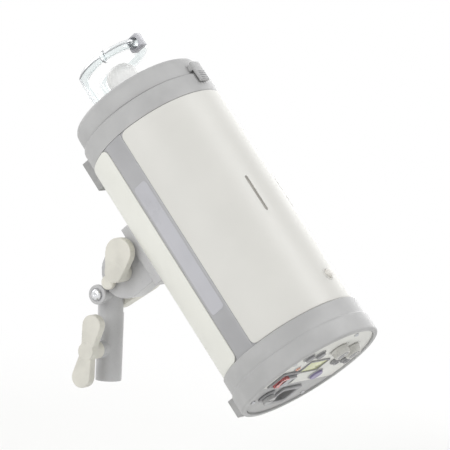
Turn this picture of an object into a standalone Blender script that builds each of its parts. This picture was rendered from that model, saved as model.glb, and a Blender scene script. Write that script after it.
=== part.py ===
# Monolight strobe on its tilting stand bracket, in metres, +Z up.
# The origin is the middle of the stand socket's mouth, +Y is the way the head aims, +X is its right side.

import math

import bmesh
import bpy
from mathutils import Matrix

# Fits
GAP = 0.0003  # between pieces that touch or turn on each other
MERGE = 0.00001

# Stand socket, a 16 mm stud goes into it from below
SOCKET_BORE_RADIUS = 0.0081
SOCKET_WALL = 0.003
SOCKET_CROWN = 0.005

# Wing screw that clamps the stud
CLAMP_HEIGHT = 0.0275
CLAMP_BOSS_RADIUS = 0.007
CLAMP_BOSS_REACH = 0.018
CLAMP_SCREW_RADIUS = 0.003
CLAMP_SCREW_IN_HUB = 0.0145
WING_HUB_RADIUS = 0.0075
WING_HUB_LENGTH = 0.0185
WING_THICKNESS = 0.008
WING_PROUD = 0.0008
WING_REACH = 0.0315
WING_END_RADIUS = 0.009
WING_WAIST_RADIUS = 0.005
WING_SLANT = math.radians(11)

# Cross bolt that holds the cheek on the socket
LUG_RADIUS = 0.007
LUG_REACH = 0.022
CROSS_BOLT_RADIUS = 0.003
CROSS_HEAD_RADIUS = 0.0045
CROSS_HEAD_HEIGHT = 0.0034
CROSS_NUT_RADIUS = 0.006
CROSS_NUT_HEIGHT = 0.0045

# Tilt joint
TILT_BACK = 0.023
TILT_HEIGHT = 0.095
TILT_RISE = 0.021  # tilt axis above the cross bolt
TILT_REST = math.radians(50)
TILT_LUG_RADIUS = 0.0225
TILT_LUG_WIDTH = 0.019
TILT_LUG_RIGHT = 0.001
TILT_BOLT_RADIUS = 0.004
TILT_HEAD_RADIUS = 0.008
TILT_HEAD_HEIGHT = 0.005
FRICTION_RADIUS = 0.018
FRICTION_THICKNESS = 0.0018
CHEEK_THICKNESS = 0.0136
CHEEK_FOOT_RADIUS = 0.014
CHEEK_CLEAR = 0.002  # from the cheek's foot down to the socket's crown
CHEEK_HEAD_RADIUS = 0.019

# Umbrella bore through the tilt lug, with its thumb screw
UMBRELLA_BORE_RADIUS = 0.0046
UMBRELLA_DROP = 0.015
UMBRELLA_SIDE = 0.0085
UMBRELLA_SCREW_RADIUS = 0.0022
UMBRELLA_KNOB_RADIUS = 0.006

# Tilt lever
LEVER_HUB_RADIUS = 0.0085
LEVER_PASS = 0.0005  # air under the lever where it swings over the bolt and the thumb screw
LEVER_THICKNESS = 0.008
LEVER_PROUD = 0.0006
LEVER_REACH = 0.030
LEVER_END_RADIUS = 0.0125
LEVER_REST = math.radians(52)  # from the aim towards the barrel
LEVER_BOLT_DEPTH = 0.012

# Housing
SHELL_RADIUS = 0.0615
SHELL_WALL = 0.0018
SHELL_FRONT = 0.077
SHELL_LENGTH = 0.207
TRIM_TOP = 0.002
TRIM_HEIGHT = 0.020
TRIM_SUNK = 0.0006
SPIGOT_LENGTH = 0.005
SLOT_LENGTH = 0.034
SLOT_WIDTH = 0.003
SLOT_MIDDLE = -0.023
SLOT_ANGLE = math.radians(20)
SENSOR_RADIUS = 0.004
SENSOR_AHEAD = 0.023  # of the shell's rear end
SENSOR_FLANGE = 0.002
SENSOR_PROUD = 0.0012
SENSOR_SEAT = 0.0033

# Mount shoe under the housing
SHOE_LENGTH = 0.056
SHOE_WIDTH = 0.044
SHOE_DEPTH = 0.0047
SHOE_TOP = 0.0252  # tilt axis to where the housing's lowest line rests
SHOE_BOLT_SPACING = 0.032
SHOE_BOLT_SIDE = 0.0085
SHOE_BOLT_RADIUS = 0.0025
SHOE_BOLT_HEAD_RADIUS = 0.0048
SHOE_BOLT_HEAD_HEIGHT = 0.0036
SHOE_BOLT_BITE = 0.012
SPACER_RADIUS = 0.0058

# Front collar and accessory lock ring
COLLAR_LENGTH = 0.0175
COLLAR_SUNK = 0.0007  # below the shell
COLLAR_ROUND = 0.002
SLEEVE_SHOULDER = 0.0071
SLEEVE_WALL = 0.0032
SLEEVE_LENGTH = 0.0152
WASHER_THICKNESS = 0.0014
WASHER_SUNK = 0.0045  # below the collar
RING_LENGTH = 0.0167
RING_SUNK = 0.0023  # below the collar
RING_LIP = 0.0027
RING_LIP_REACH = 0.0035  # inwards past the collar's bore
RING_ROUND = 0.006
LUG_COUNT = 3
BAYONET_DEPTH = 0.0035
BAYONET_WIDTH = 0.018
TAB_WIDTH = 0.012
TAB_HEIGHT = 0.0032
TAB_OVERHANG = 0.012
TAB_ROOT = 0.007

# Feet
FRONT_FOOT_LENGTH = 0.027
FRONT_FOOT_WIDTH = 0.040
FRONT_FOOT_DEPTH = 0.0035
FRONT_FOOT_OVERLAP = 0.017
REAR_FOOT_LENGTH = 0.016
REAR_FOOT_WIDTH = 0.044
REAR_FOOT_DEPTH = 0.0022

# Lamp and flash tube
REFLECTOR_WALL = 0.0012
REFLECTOR_FLOOR = 0.004  # floor of the dish ahead of the shell's front end
REFLECTOR_RISE = 0.0103
REFLECTOR_FLAT_RADIUS = 0.036
LAMP_SOCKET_RADIUS = 0.0182
LAMP_SOCKET_PROUD = 0.003
LAMP_SOCKET_LENGTH = 0.022
LAMP_SOCKET_FLOOR = 0.004
LAMP_BASE_RADIUS = 0.012
LAMP_BASE_PROUD = 0.002
LAMP_NECK_RADIUS = 0.010
LAMP_NECK_LENGTH = 0.004
LAMP_GLASS_RADIUS = 0.014
LAMP_GLASS_LENGTH = 0.055
TUBE_RING_RADIUS = 0.028
TUBE_RADIUS = 0.004
TUBE_AHEAD = 0.0365  # ring plane ahead of the lock ring's front face
TUBE_OPEN = math.radians(40)
TUBE_BEND = 0.007
TUBE_SOCKET_RADIUS = 0.0062
TUBE_SOCKET_PROUD = 0.008
TUBE_SOCKET_LENGTH = 0.018
TUBE_SOCKET_BITE = 0.012
CLIP_WIDTH = 0.009
CLIP_SIDE = 0.0125
CLIP_PLAY = 0.0007
WIRE_RADIUS = 0.0007
WIRE_FIRST = math.radians(72)
WIRE_LAST = math.radians(-40)
WIRE_LOOP = math.radians(20)
WIRE_LOOP_SPREAD = math.radians(5)

# Rear collar and panels
REAR_LENGTH = 0.0317
REAR_PROUD = 0.0013  # above the shell
REAR_BAND = 0.014
RIM_PROUD = 0.0014  # above the collar's front band
REAR_ROUND = 0.0035
REAR_WALL = 0.003
PANEL_SEAT = 0.0035
PANEL_RECESS = 0.0016
PANEL_THICKNESS = 0.0024
PANEL_SPLIT = -0.0155
SEAT_LENGTH = 0.0075
BOARD_THICKNESS = 0.0016
BOARD_BEHIND = 0.0081
BOARD_SPAN = 0.080
BOARD_LOW = -0.0115
BOARD_HIGH = 0.0365

# Controls on the rear panel, places are (left, up) from the barrel's middle on a panel of the drawn radius
PANEL_DRAWN_RADIUS = 0.0595
LCD_PLACE = (0.009, 0.011)
LCD_SIZE = (0.030, 0.015)
LCD_PROUD = 0.0006
POWER_DIAL_PLACE = (0.0, 0.0335)
MODEL_DIAL_PLACE = (-0.0225, 0.031)
DIAL_RADIUS = 0.008
DIAL_HEIGHT = 0.0068
DIAL_SHAFT_RADIUS = 0.003
DIAL_CHAMFER = 0.0012
TEST_BUTTON_PLACE = (-0.0165, -0.005)
TEST_BUTTON_RADIUS = 0.006
MODE_LEFT_PLACE = (0.0395, 0.0275)
MODE_RIGHT_PLACE = (0.025, 0.0295)
MODE_BUTTON_RADIUS = 0.0042
BUTTON_PROUD = 0.0026
BUTTON_TRAVEL_ROOM = 0.0016
READY_PLACE = (0.0355, 0.0115)
READY_RADIUS = 0.0026
READY_PROUD = 0.0018
ROCKER_PLACE = (0.0375, -0.0035)
ROCKER_SIZE = (0.020, 0.0135)
ROCKER_FRAME = 0.0025
ROCKER_FLANGE = 0.0015
ROCKER_PLAY = 0.0012  # swing room at the rocker's inner edges
ROCKER_PROUD = 0.0022
ROCKER_DEPTH = 0.004
SYNC_JACK_PLACE = (-0.0225, 0.0135)
REMOTE_JACK_PLACE = (-0.041, 0.0125)
JACK_RADIUS = 0.005
JACK_BARREL_RADIUS = 0.0036
JACK_HOLE_RADIUS = 0.0018
JACK_PROUD = 0.003
JACK_DEPTH = 0.008
INLET_PLACE = (0.0, -0.032)
INLET_SIZE = (0.0274, 0.0204)
INLET_FLANGE = 0.0018
INLET_LIP = 0.0020
INLET_WALL = 0.0020
INLET_DEPTH = 0.020
INLET_FLOOR = 0.005
PIN_SIZE = (0.0022, 0.0055)
PIN_LENGTH = 0.011
PIN_SPREAD = 0.007
PIN_STEP = 0.004
FUSE_PLACE = (0.029, -0.029)
FUSE_BARREL_RADIUS = 0.0062
FUSE_FLANGE_RADIUS = 0.008
FUSE_FLANGE = 0.0018
FUSE_DEPTH = 0.024
FUSE_CAP_RADIUS = 0.0056
FUSE_CAP_HEIGHT = 0.0034

# Inside the housing
CHASSIS_RISE = 0.0195  # underside above the shell's lowest line
CHASSIS_THICKNESS = 0.002
CHASSIS_SIDE = 0.0235  # in from the shell at each side
CHASSIS_REAR = -0.116
CHASSIS_FRONT = 0.064
CAN_RADIUS = 0.017
CAN_LENGTH = 0.082
CAN_SPACING = 0.036
CAN_REAR = -0.106
CAN_ROUND = 0.0015
CLAMP_STRAP_LENGTH = 0.014
CLAMP_STRAP_WALL = 0.0015
TRANSFORMER_LENGTH = 0.034
TRANSFORMER_WIDTH = 0.040
TRANSFORMER_REAR = 0.026
BOARD_WIDTH = 0.088
BOARD_REAR = -0.112
BOARD_FRONT = 0.058
SINK_LENGTH = 0.050
SINK_WIDTH = 0.028
SINK_HEIGHT = 0.022
SINK_BASE = 0.003
SINK_PLACE = (-0.026, -0.075)
SINK_SLOTS = 4
SINK_SLOT_WIDTH = 0.003
COIL_RADIUS = 0.009
COIL_HEIGHT = 0.022
COIL_PLACE = (0.024, 0.030)

# Smoothness
ROUND_STEPS = 48
KNOB_STEPS = 20
SMALL_STEPS = 14
SHELL_STEP = math.radians(4)

# Places that follow from the sizes above
SOCKET_RADIUS = SOCKET_BORE_RADIUS + SOCKET_WALL
LUG_HEIGHT = TILT_HEIGHT - TILT_RISE
SOCKET_BORE_DEPTH = LUG_HEIGHT - CHEEK_FOOT_RADIUS - CHEEK_CLEAR - SOCKET_CROWN
CHEEK_LEFT = TILT_LUG_RIGHT + FRICTION_THICKNESS + 2 * GAP
CHEEK_RIGHT = CHEEK_LEFT + CHEEK_THICKNESS
TILT_LUG_LEFT = TILT_LUG_RIGHT - TILT_LUG_WIDTH
LEVER_STANDOFF = LUG_REACH + CROSS_HEAD_HEIGHT + LEVER_PASS + TILT_LUG_LEFT
UMBRELLA_KNOB_HEIGHT = LEVER_STANDOFF - LEVER_PASS - GAP
SHELL_REAR = SHELL_FRONT - SHELL_LENGTH
SENSOR_PLACE = SHELL_REAR + SENSOR_AHEAD
SHELL_INSIDE = SHELL_RADIUS - SHELL_WALL
SPIGOT_RADIUS = SHELL_INSIDE - GAP
AXIS_HEIGHT = SHOE_TOP + GAP + SHELL_RADIUS  # tilt axis to the middle of the barrel
SHOE_UNDERSIDE = SHOE_TOP - SHOE_DEPTH
COLLAR_RADIUS = SHELL_RADIUS - COLLAR_SUNK
SLEEVE_RADIUS = COLLAR_RADIUS - SLEEVE_SHOULDER
COLLAR_BORE_RADIUS = SLEEVE_RADIUS - SLEEVE_WALL
WASHER_RADIUS = COLLAR_RADIUS - WASHER_SUNK
RING_RADIUS = COLLAR_RADIUS - RING_SUNK
RING_MOUTH_RADIUS = COLLAR_BORE_RADIUS - RING_LIP_REACH
COLLAR_REAR = SHELL_FRONT + GAP
COLLAR_FRONT = COLLAR_REAR + COLLAR_LENGTH
SLEEVE_FRONT = COLLAR_FRONT + SLEEVE_LENGTH
WASHER_REAR = COLLAR_FRONT + GAP
RING_REAR = WASHER_REAR + WASHER_THICKNESS + GAP
RING_FRONT = RING_REAR + RING_LENGTH
DISH_FLOOR = SHELL_FRONT + REFLECTOR_FLOOR
REAR_RADIUS = SHELL_RADIUS + REAR_PROUD
REAR_RIM_RADIUS = REAR_RADIUS + RIM_PROUD
REAR_FRONT = SHELL_REAR - GAP
REAR_END = REAR_FRONT - REAR_LENGTH
PANEL_FACE = REAR_END + PANEL_RECESS
PANEL_BACK = PANEL_FACE + PANEL_THICKNESS
PANEL_RADIUS = REAR_RADIUS - REAR_WALL - GAP
PANEL_SPREAD = PANEL_RADIUS / PANEL_DRAWN_RADIUS  # moves the controls with the panel's rim
CONTROL_BOARD_FACE = PANEL_BACK + BOARD_BEHIND
CHASSIS_LEVEL = CHASSIS_RISE - SHELL_RADIUS
CHASSIS_WIDTH = 2 * (SHELL_RADIUS - CHASSIS_SIDE)
CHASSIS_TOP = CHASSIS_LEVEL + CHASSIS_THICKNESS
CAN_LEVEL = CHASSIS_TOP + GAP + CAN_RADIUS
BOARD_LEVEL = CAN_LEVEL + CAN_RADIUS + CLAMP_STRAP_WALL + 2 * GAP
ALONG_X = (0, math.pi / 2, 0)
UPRIGHT = (0, 0, 0)

FINISHES = {
    "collar_grey": ((0.361, 0.361, 0.361), 0.45, 0.0),
    "shell_grey": ((0.68, 0.672, 0.638), 0.42, 0.0),
    "lower_cream": ((0.768, 0.768, 0.716), 0.42, 0.0),
    "band_grey": ((0.305, 0.305, 0.314), 0.35, 0.0),
    "knob_putty": ((0.658, 0.644, 0.584), 0.5, 0.0),
    "rubber": ((0.27, 0.27, 0.27), 0.8, 0.0),
    "panel_grey": ((0.73, 0.73, 0.694), 0.5, 0.0),
    "cast_grey": ((0.342, 0.342, 0.347), 0.5, 0.3),
    "steel": ((0.62, 0.62, 0.63), 0.3, 1.0),
    "chrome": ((0.85, 0.85, 0.86), 0.12, 1.0),
    "aluminium": ((0.75, 0.75, 0.76), 0.35, 1.0),
    "glass": ((0.92, 0.95, 0.95), 0.05, 0.0),
    "ceramic": ((0.85, 0.83, 0.78), 0.5, 0.0),
    "lcd": ((0.565, 0.604, 0.238), 0.25, 0.0),
    "lens_red": ((0.617, 0.107, 0.112), 0.25, 0.0),
    "lens_amber": ((0.823, 0.434, 0.314), 0.25, 0.0),
    "button_violet": ((0.175, 0.144, 0.27), 0.4, 0.0),
    "board_green": ((0.019, 0.117, 0.048), 0.5, 0.0),
    "can_blue": ((0.034, 0.054, 0.122), 0.4, 0.0),
    "copper": ((0.72, 0.38, 0.20), 0.35, 1.0),
    "fibre": ((0.195, 0.181, 0.162), 0.8, 0.0),
}


def clear_scene():
    for obj in list(bpy.data.objects):
        bpy.data.objects.remove(obj, do_unlink=True)


def make_collection(name):
    made = bpy.data.collections.new(name)
    bpy.context.scene.collection.children.link(made)
    return made


def make_material(name, colour, roughness, metallic):
    made = bpy.data.materials.new(name)
    made.use_nodes = True
    shader = made.node_tree.nodes["Principled BSDF"]
    shader.inputs["Base Color"].default_value = (*colour, 1)
    shader.inputs["Roughness"].default_value = roughness
    shader.inputs["Metallic"].default_value = metallic
    return made


clear_scene()
PARTS = make_collection("monolight_strobe")
CUTTERS = make_collection("cutters")
MATERIALS = {name: make_material(name, *look) for name, look in FINISHES.items()}


def empty(name, parent=None, location=(0, 0, 0), rotation=UPRIGHT):
    made = bpy.data.objects.new(name, None)
    PARTS.objects.link(made)
    made.parent = parent
    made.location = location
    made.rotation_euler = rotation
    return made


def add_object(name, mesh, parent, location, rotation, finish):
    """Links a mesh as a part, or as a hidden helper where it has no finish."""
    made = bpy.data.objects.new(name, mesh)
    made.parent = parent
    made.location = location
    made.rotation_euler = rotation
    if finish is None:
        CUTTERS.objects.link(made)
        made.hide_render = True
        made.display_type = "WIRE"
    else:
        PARTS.objects.link(made)
        mesh.materials.append(MATERIALS[finish])
    return made


def mesh_from(name, bm, smooth):
    mesh = bpy.data.meshes.new(name)
    bm.to_mesh(mesh)
    bm.free()
    if smooth:
        mesh.shade_smooth()
        mesh.set_sharp_from_angle(angle=math.radians(35))
    return mesh


def block(name, size, parent, location=(0, 0, 0), rotation=UPRIGHT, finish=None, bevel=0.0):
    """A box, centred on its origin, with rounded edges where bevel is set."""
    bm = bmesh.new()
    bmesh.ops.create_cube(bm, size=1)
    bmesh.ops.scale(bm, vec=size, verts=bm.verts)
    made = add_object(name, mesh_from(name, bm, False), parent, location, rotation, finish)
    if bevel:
        rounding = made.modifiers.new("Round", "BEVEL")
        rounding.width = bevel
        rounding.segments = 2
        rounding.limit_method = "ANGLE"
    return made


def rod(name, radius, length, parent, location=(0, 0, 0), rotation=UPRIGHT, finish=None, steps=SMALL_STEPS):
    """A cylinder along its own Z, centred on its origin."""
    bm = bmesh.new()
    bmesh.ops.create_cone(
        bm, cap_ends=True, segments=steps, radius1=radius, radius2=radius, depth=length
    )
    return add_object(name, mesh_from(name, bm, True), parent, location, rotation, finish)


def turned(name, profile, parent, location=(0, 0, 0), rotation=UPRIGHT, finish=None, steps=ROUND_STEPS):
    """Turns (radius, height) points about Z. They run outwards at the top and down the outside."""
    mesh = bpy.data.meshes.new(name)
    edges = [(i, i + 1) for i in range(len(profile) - 1)]
    if profile[0][0] > 0:
        edges.append((len(profile) - 1, 0))
    mesh.from_pydata([(radius, 0, height) for radius, height in profile], edges, [])
    made = add_object(name, mesh, parent, location, rotation, finish)
    screw = made.modifiers.new("Turn", "SCREW")
    screw.steps = steps
    screw.render_steps = steps
    screw.use_merge_vertices = True
    screw.merge_threshold = MERGE
    return made


def arc_shell(name, radius, wall, start, end, finish, parent):
    """A stretch of the barrel's wall, between two angles counted from the left side upwards."""
    across, upward = math.cos(start) * radius, math.sin(start) * radius
    mesh = bpy.data.meshes.new(name)
    mesh.from_pydata([(across, upward, SHELL_FRONT), (across, upward, SHELL_REAR)], [(0, 1)], [])
    made = add_object(name, mesh, parent, (0, 0, 0), UPRIGHT, finish)
    screw = made.modifiers.new("Sweep", "SCREW")
    screw.angle = end - start
    screw.steps = max(3, round((end - start) / SHELL_STEP))
    screw.render_steps = screw.steps
    solid = made.modifiers.new("Wall", "SOLIDIFY")
    solid.thickness = wall
    solid.offset = -1
    return made


def slab(name, outline, thickness, parent, location=(0, 0, 0), rotation=UPRIGHT, finish=None):
    """A flat outline in XY, with its thickness centred on its origin along Z."""
    curve = bpy.data.curves.new(name, "CURVE")
    curve.dimensions = "2D"
    curve.fill_mode = "BOTH"
    curve.extrude = thickness / 2
    spline = curve.splines.new("POLY")
    spline.points.add(len(outline) - 1)
    for point, (x, y) in zip(spline.points, outline):
        point.co = (x, y, 0, 1)
    spline.use_cyclic_u = True
    drawn = bpy.data.objects.new(name + "_outline", curve)
    bpy.context.scene.collection.objects.link(drawn)
    graph = bpy.context.evaluated_depsgraph_get()
    mesh = bpy.data.meshes.new_from_object(drawn.evaluated_get(graph))
    bpy.data.objects.remove(drawn, do_unlink=True)
    bm = bmesh.new()
    bm.from_mesh(mesh)
    bmesh.ops.remove_doubles(bm, verts=bm.verts, dist=MERGE)
    bmesh.ops.recalc_face_normals(bm, faces=bm.faces)
    return add_object(name, mesh_from(name, bm, True), parent, location, rotation, finish)


def tube(name, points, radius, parent, finish, sides=2):
    """A wire or glass tube along a list of points."""
    curve = bpy.data.curves.new(name, "CURVE")
    curve.dimensions = "3D"
    curve.bevel_depth = radius
    curve.bevel_resolution = sides
    curve.use_fill_caps = True
    spline = curve.splines.new("POLY")
    spline.points.add(len(points) - 1)
    for point, place in zip(spline.points, points):
        point.co = (*place, 1)
    made = bpy.data.objects.new(name, curve)
    PARTS.objects.link(made)
    made.parent = parent
    curve.materials.append(MATERIALS[finish])
    return made


def boolean(target, other, operation):
    modifier = target.modifiers.new(operation.title(), "BOOLEAN")
    modifier.operation = operation
    modifier.object = other
    modifier.solver = "EXACT"


def cut(target, *others):
    for other in others:
        boolean(target, other, "DIFFERENCE")


def join(target, *others):
    for other in others:
        boolean(target, other, "UNION")


def drop_outline(near_radius, far_radius, distance, steps=12):
    """The outline around two circles, one at the origin and one along +X."""
    lean = math.acos((near_radius - far_radius) / distance)
    points = []
    for i in range(steps + 1):
        angle = -lean + 2 * lean * i / steps
        points.append((distance + far_radius * math.cos(angle), far_radius * math.sin(angle)))
    for i in range(steps + 1):
        angle = lean + (2 * math.pi - 2 * lean) * i / steps
        points.append((near_radius * math.cos(angle), near_radius * math.sin(angle)))
    return points


def between(low, high):
    return (low + high) / 2


def shift_along(distance):
    """A matrix that moves a mesh along its own Z."""
    return Matrix.Translation((0, 0, distance))


# Stand bracket, fixed to the stand


def build_stand_socket():
    crown = SOCKET_BORE_DEPTH + SOCKET_CROWN
    # The round of the socket goes on up to the cross bolt, and is notched there for the cheek's foot.
    socket = turned(
        "stand_socket",
        [
            (0, LUG_HEIGHT),
            (SOCKET_RADIUS, LUG_HEIGHT),
            (SOCKET_RADIUS, 0),
            (SOCKET_BORE_RADIUS, 0),
            (SOCKET_BORE_RADIUS, SOCKET_BORE_DEPTH),
            (0, SOCKET_BORE_DEPTH),
        ],
        None,
        finish="cast_grey",
        steps=32,
    )
    neck_right = CHEEK_LEFT - GAP
    lug_end = between(neck_right, SOCKET_RADIUS)
    lug = rod(
        "socket_lug",
        LUG_RADIUS,
        lug_end + LUG_REACH,
        None,
        (between(lug_end, -LUG_REACH), 0, LUG_HEIGHT),
        ALONG_X,
        steps=24,
    )
    boss_root = SOCKET_BORE_RADIUS + SOCKET_WALL / 10
    boss = rod(
        "clamp_boss",
        CLAMP_BOSS_RADIUS,
        CLAMP_BOSS_REACH - boss_root,
        None,
        (-between(CLAMP_BOSS_REACH, boss_root), 0, CLAMP_HEIGHT),
        ALONG_X,
        steps=24,
    )
    join(socket, lug, boss)
    notch_rise = 2 * (LUG_HEIGHT - crown + LUG_RADIUS)
    notch = block(
        "cheek_notch",
        (2 * SOCKET_RADIUS, 3 * SOCKET_RADIUS, notch_rise),
        None,
        (neck_right + SOCKET_RADIUS, 0, crown + notch_rise / 2),
    )
    bolt_hole = rod(
        "cross_hole", CROSS_BOLT_RADIUS + GAP, 4 * LUG_REACH, None, (0, 0, LUG_HEIGHT), ALONG_X
    )
    screw_hole = rod(
        "clamp_hole",
        CLAMP_SCREW_RADIUS + GAP,
        2 * CLAMP_BOSS_REACH - SOCKET_BORE_RADIUS,
        None,
        (-CLAMP_BOSS_REACH, 0, CLAMP_HEIGHT),
        ALONG_X,
    )
    cut(socket, notch, bolt_hole, screw_hole)


def build_cheek():
    reach = math.hypot(TILT_BACK, TILT_HEIGHT - LUG_HEIGHT)
    fall = math.atan2(LUG_HEIGHT - TILT_HEIGHT, TILT_BACK)
    middle = between(CHEEK_LEFT, CHEEK_RIGHT)
    axis = empty("cheek_axis", None, (middle, -TILT_BACK, TILT_HEIGHT), (fall, 0, 0))
    # The outline's X lies along +Y of its axis, its thickness along X.
    cheek = slab(
        "tilt_cheek",
        drop_outline(CHEEK_HEAD_RADIUS, CHEEK_FOOT_RADIUS, reach),
        CHEEK_THICKNESS,
        axis,
        rotation=(math.pi / 2, 0, math.pi / 2),
        finish="knob_putty",
    )
    tilt_hole = rod("cheek_tilt_hole", TILT_BOLT_RADIUS + GAP, 2 * CHEEK_THICKNESS, axis, rotation=ALONG_X)
    cross_hole = rod(
        "cheek_cross_hole", CROSS_BOLT_RADIUS + GAP, 2 * CHEEK_THICKNESS, axis, (0, reach, 0), ALONG_X
    )
    cut(cheek, tilt_hole, cross_hole)


def build_cross_bolt():
    head_base = LUG_REACH + GAP
    nut_base = CHEEK_RIGHT + GAP
    length = head_base + nut_base + CROSS_NUT_HEIGHT
    turned(
        "cross_bolt",
        [
            (0, CROSS_HEAD_HEIGHT),
            (0.6 * CROSS_HEAD_RADIUS, 0.8 * CROSS_HEAD_HEIGHT),
            (CROSS_HEAD_RADIUS, 0.3 * CROSS_HEAD_HEIGHT),
            (CROSS_HEAD_RADIUS, 0),
            (CROSS_BOLT_RADIUS, 0),
            (CROSS_BOLT_RADIUS, -length),
            (0, -length),
        ],
        None,
        (-head_base, 0, LUG_HEIGHT),
        (0, -math.pi / 2, 0),
        "chrome",
        KNOB_STEPS,
    )
    nut = rod(
        "cross_nut",
        CROSS_NUT_RADIUS,
        CROSS_NUT_HEIGHT,
        None,
        (nut_base + CROSS_NUT_HEIGHT / 2, 0, LUG_HEIGHT),
        ALONG_X,
        "steel",
        6,
    )
    cut(
        nut,
        rod(
            "cross_nut_hole",
            CROSS_BOLT_RADIUS + GAP,
            3 * CROSS_NUT_HEIGHT,
            None,
            (nut_base, 0, LUG_HEIGHT),
            ALONG_X,
            steps=KNOB_STEPS,
        ),
    )


def build_tilt_bolt():
    tip = TILT_LUG_LEFT - LEVER_BOLT_DEPTH
    seat = CHEEK_RIGHT + GAP
    bolt = rod(
        "tilt_bolt",
        TILT_BOLT_RADIUS,
        seat + TILT_HEAD_HEIGHT - tip,
        None,
        (between(seat + TILT_HEAD_HEIGHT, tip), -TILT_BACK, TILT_HEIGHT),
        ALONG_X,
        "steel",
        KNOB_STEPS,
    )
    head = rod(
        "tilt_bolt_head",
        TILT_HEAD_RADIUS,
        TILT_HEAD_HEIGHT,
        None,
        (seat + TILT_HEAD_HEIGHT / 2, -TILT_BACK, TILT_HEIGHT),
        ALONG_X,
        steps=6,
    )
    join(bolt, head)
    turned(
        "friction_disc",
        [
            (TILT_BOLT_RADIUS + GAP, FRICTION_THICKNESS),
            (FRICTION_RADIUS, FRICTION_THICKNESS),
            (FRICTION_RADIUS, 0),
            (TILT_BOLT_RADIUS + GAP, 0),
        ],
        None,
        (TILT_LUG_RIGHT + GAP, -TILT_BACK, TILT_HEIGHT),
        ALONG_X,
        "fibre",
        32,
    )


def build_stand_clamp():
    """Wing and screw, turning together about the screw's axis."""
    axis = empty("stand_clamp_axis", None, (-CLAMP_BOSS_REACH - GAP, 0, CLAMP_HEIGHT), (WING_SLANT, 0, 0))
    wing = rod(
        "clamp_wing",
        WING_HUB_RADIUS,
        WING_HUB_LENGTH,
        axis,
        (0, 0, 0),
        ALONG_X,
        "knob_putty",
        KNOB_STEPS,
    )
    wing.data.transform(shift_along(-WING_HUB_LENGTH / 2))
    blade_middle = WING_PROUD + WING_THICKNESS / 2 - WING_HUB_LENGTH
    outline = drop_outline(WING_WAIST_RADIUS, WING_END_RADIUS, WING_REACH - WING_END_RADIUS)
    for side, turn in (("upper", math.pi / 2), ("lower", -math.pi / 2)):
        facing = (math.pi / 2, turn, math.pi / 2)
        join(wing, slab(side + "_blade", outline, WING_THICKNESS, axis, (blade_middle, 0, 0), facing))
    depth = CLAMP_SCREW_IN_HUB + GAP
    cut(
        wing,
        rod("wing_hole", CLAMP_SCREW_RADIUS + GAP, 2 * depth, axis, rotation=ALONG_X, steps=KNOB_STEPS),
    )
    tip = CLAMP_BOSS_REACH + GAP - SOCKET_BORE_RADIUS - GAP
    rod(
        "clamp_screw",
        CLAMP_SCREW_RADIUS,
        CLAMP_SCREW_IN_HUB + tip,
        axis,
        (between(tip, -CLAMP_SCREW_IN_HUB), 0, 0),
        ALONG_X,
        "steel",
        KNOB_STEPS,
    )


# Head: everything that tilts


def build_mount_shoe(pivot, barrel):
    body = SHOE_WIDTH / 2
    plate_top = SHOE_TOP + 0.35 * body
    shoe = block(
        "mount_shoe",
        (SHOE_WIDTH, SHOE_LENGTH, plate_top - SHOE_UNDERSIDE),
        pivot,
        (0, 0, between(plate_top, SHOE_UNDERSIDE)),
        finish="cast_grey",
    )
    cut(shoe, rod("shoe_bed", SHELL_RADIUS + GAP, 2 * SHOE_LENGTH, barrel, steps=72))
    lug_middle = between(TILT_LUG_LEFT, TILT_LUG_RIGHT)
    disc = rod(
        "shoe_disc", TILT_LUG_RADIUS, TILT_LUG_WIDTH, pivot, (lug_middle, 0, 0), ALONG_X, steps=32
    )
    web_top = SHOE_UNDERSIDE + SHOE_DEPTH / 2
    web = block(
        "shoe_web",
        (TILT_LUG_WIDTH, 2 * TILT_LUG_RADIUS, web_top),
        pivot,
        (lug_middle, 0, web_top / 2),
    )
    join(shoe, disc, web)
    bolt_hole = rod("shoe_tilt_hole", TILT_BOLT_RADIUS + GAP, 3 * TILT_LUG_WIDTH, pivot, rotation=ALONG_X)
    umbrella = rod(
        "umbrella_bore",
        UMBRELLA_BORE_RADIUS,
        4 * TILT_LUG_RADIUS,
        pivot,
        (-UMBRELLA_SIDE, 0, -UMBRELLA_DROP),
        (math.pi / 2, 0, 0),
        steps=KNOB_STEPS,
    )
    thumb = rod(
        "umbrella_screw_hole",
        UMBRELLA_SCREW_RADIUS + GAP,
        TILT_LUG_WIDTH,
        pivot,
        (-UMBRELLA_SIDE - TILT_LUG_WIDTH / 2, 0, -UMBRELLA_DROP),
        ALONG_X,
    )
    cut(shoe, bolt_hole, umbrella, thumb)
    return shoe


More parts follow.
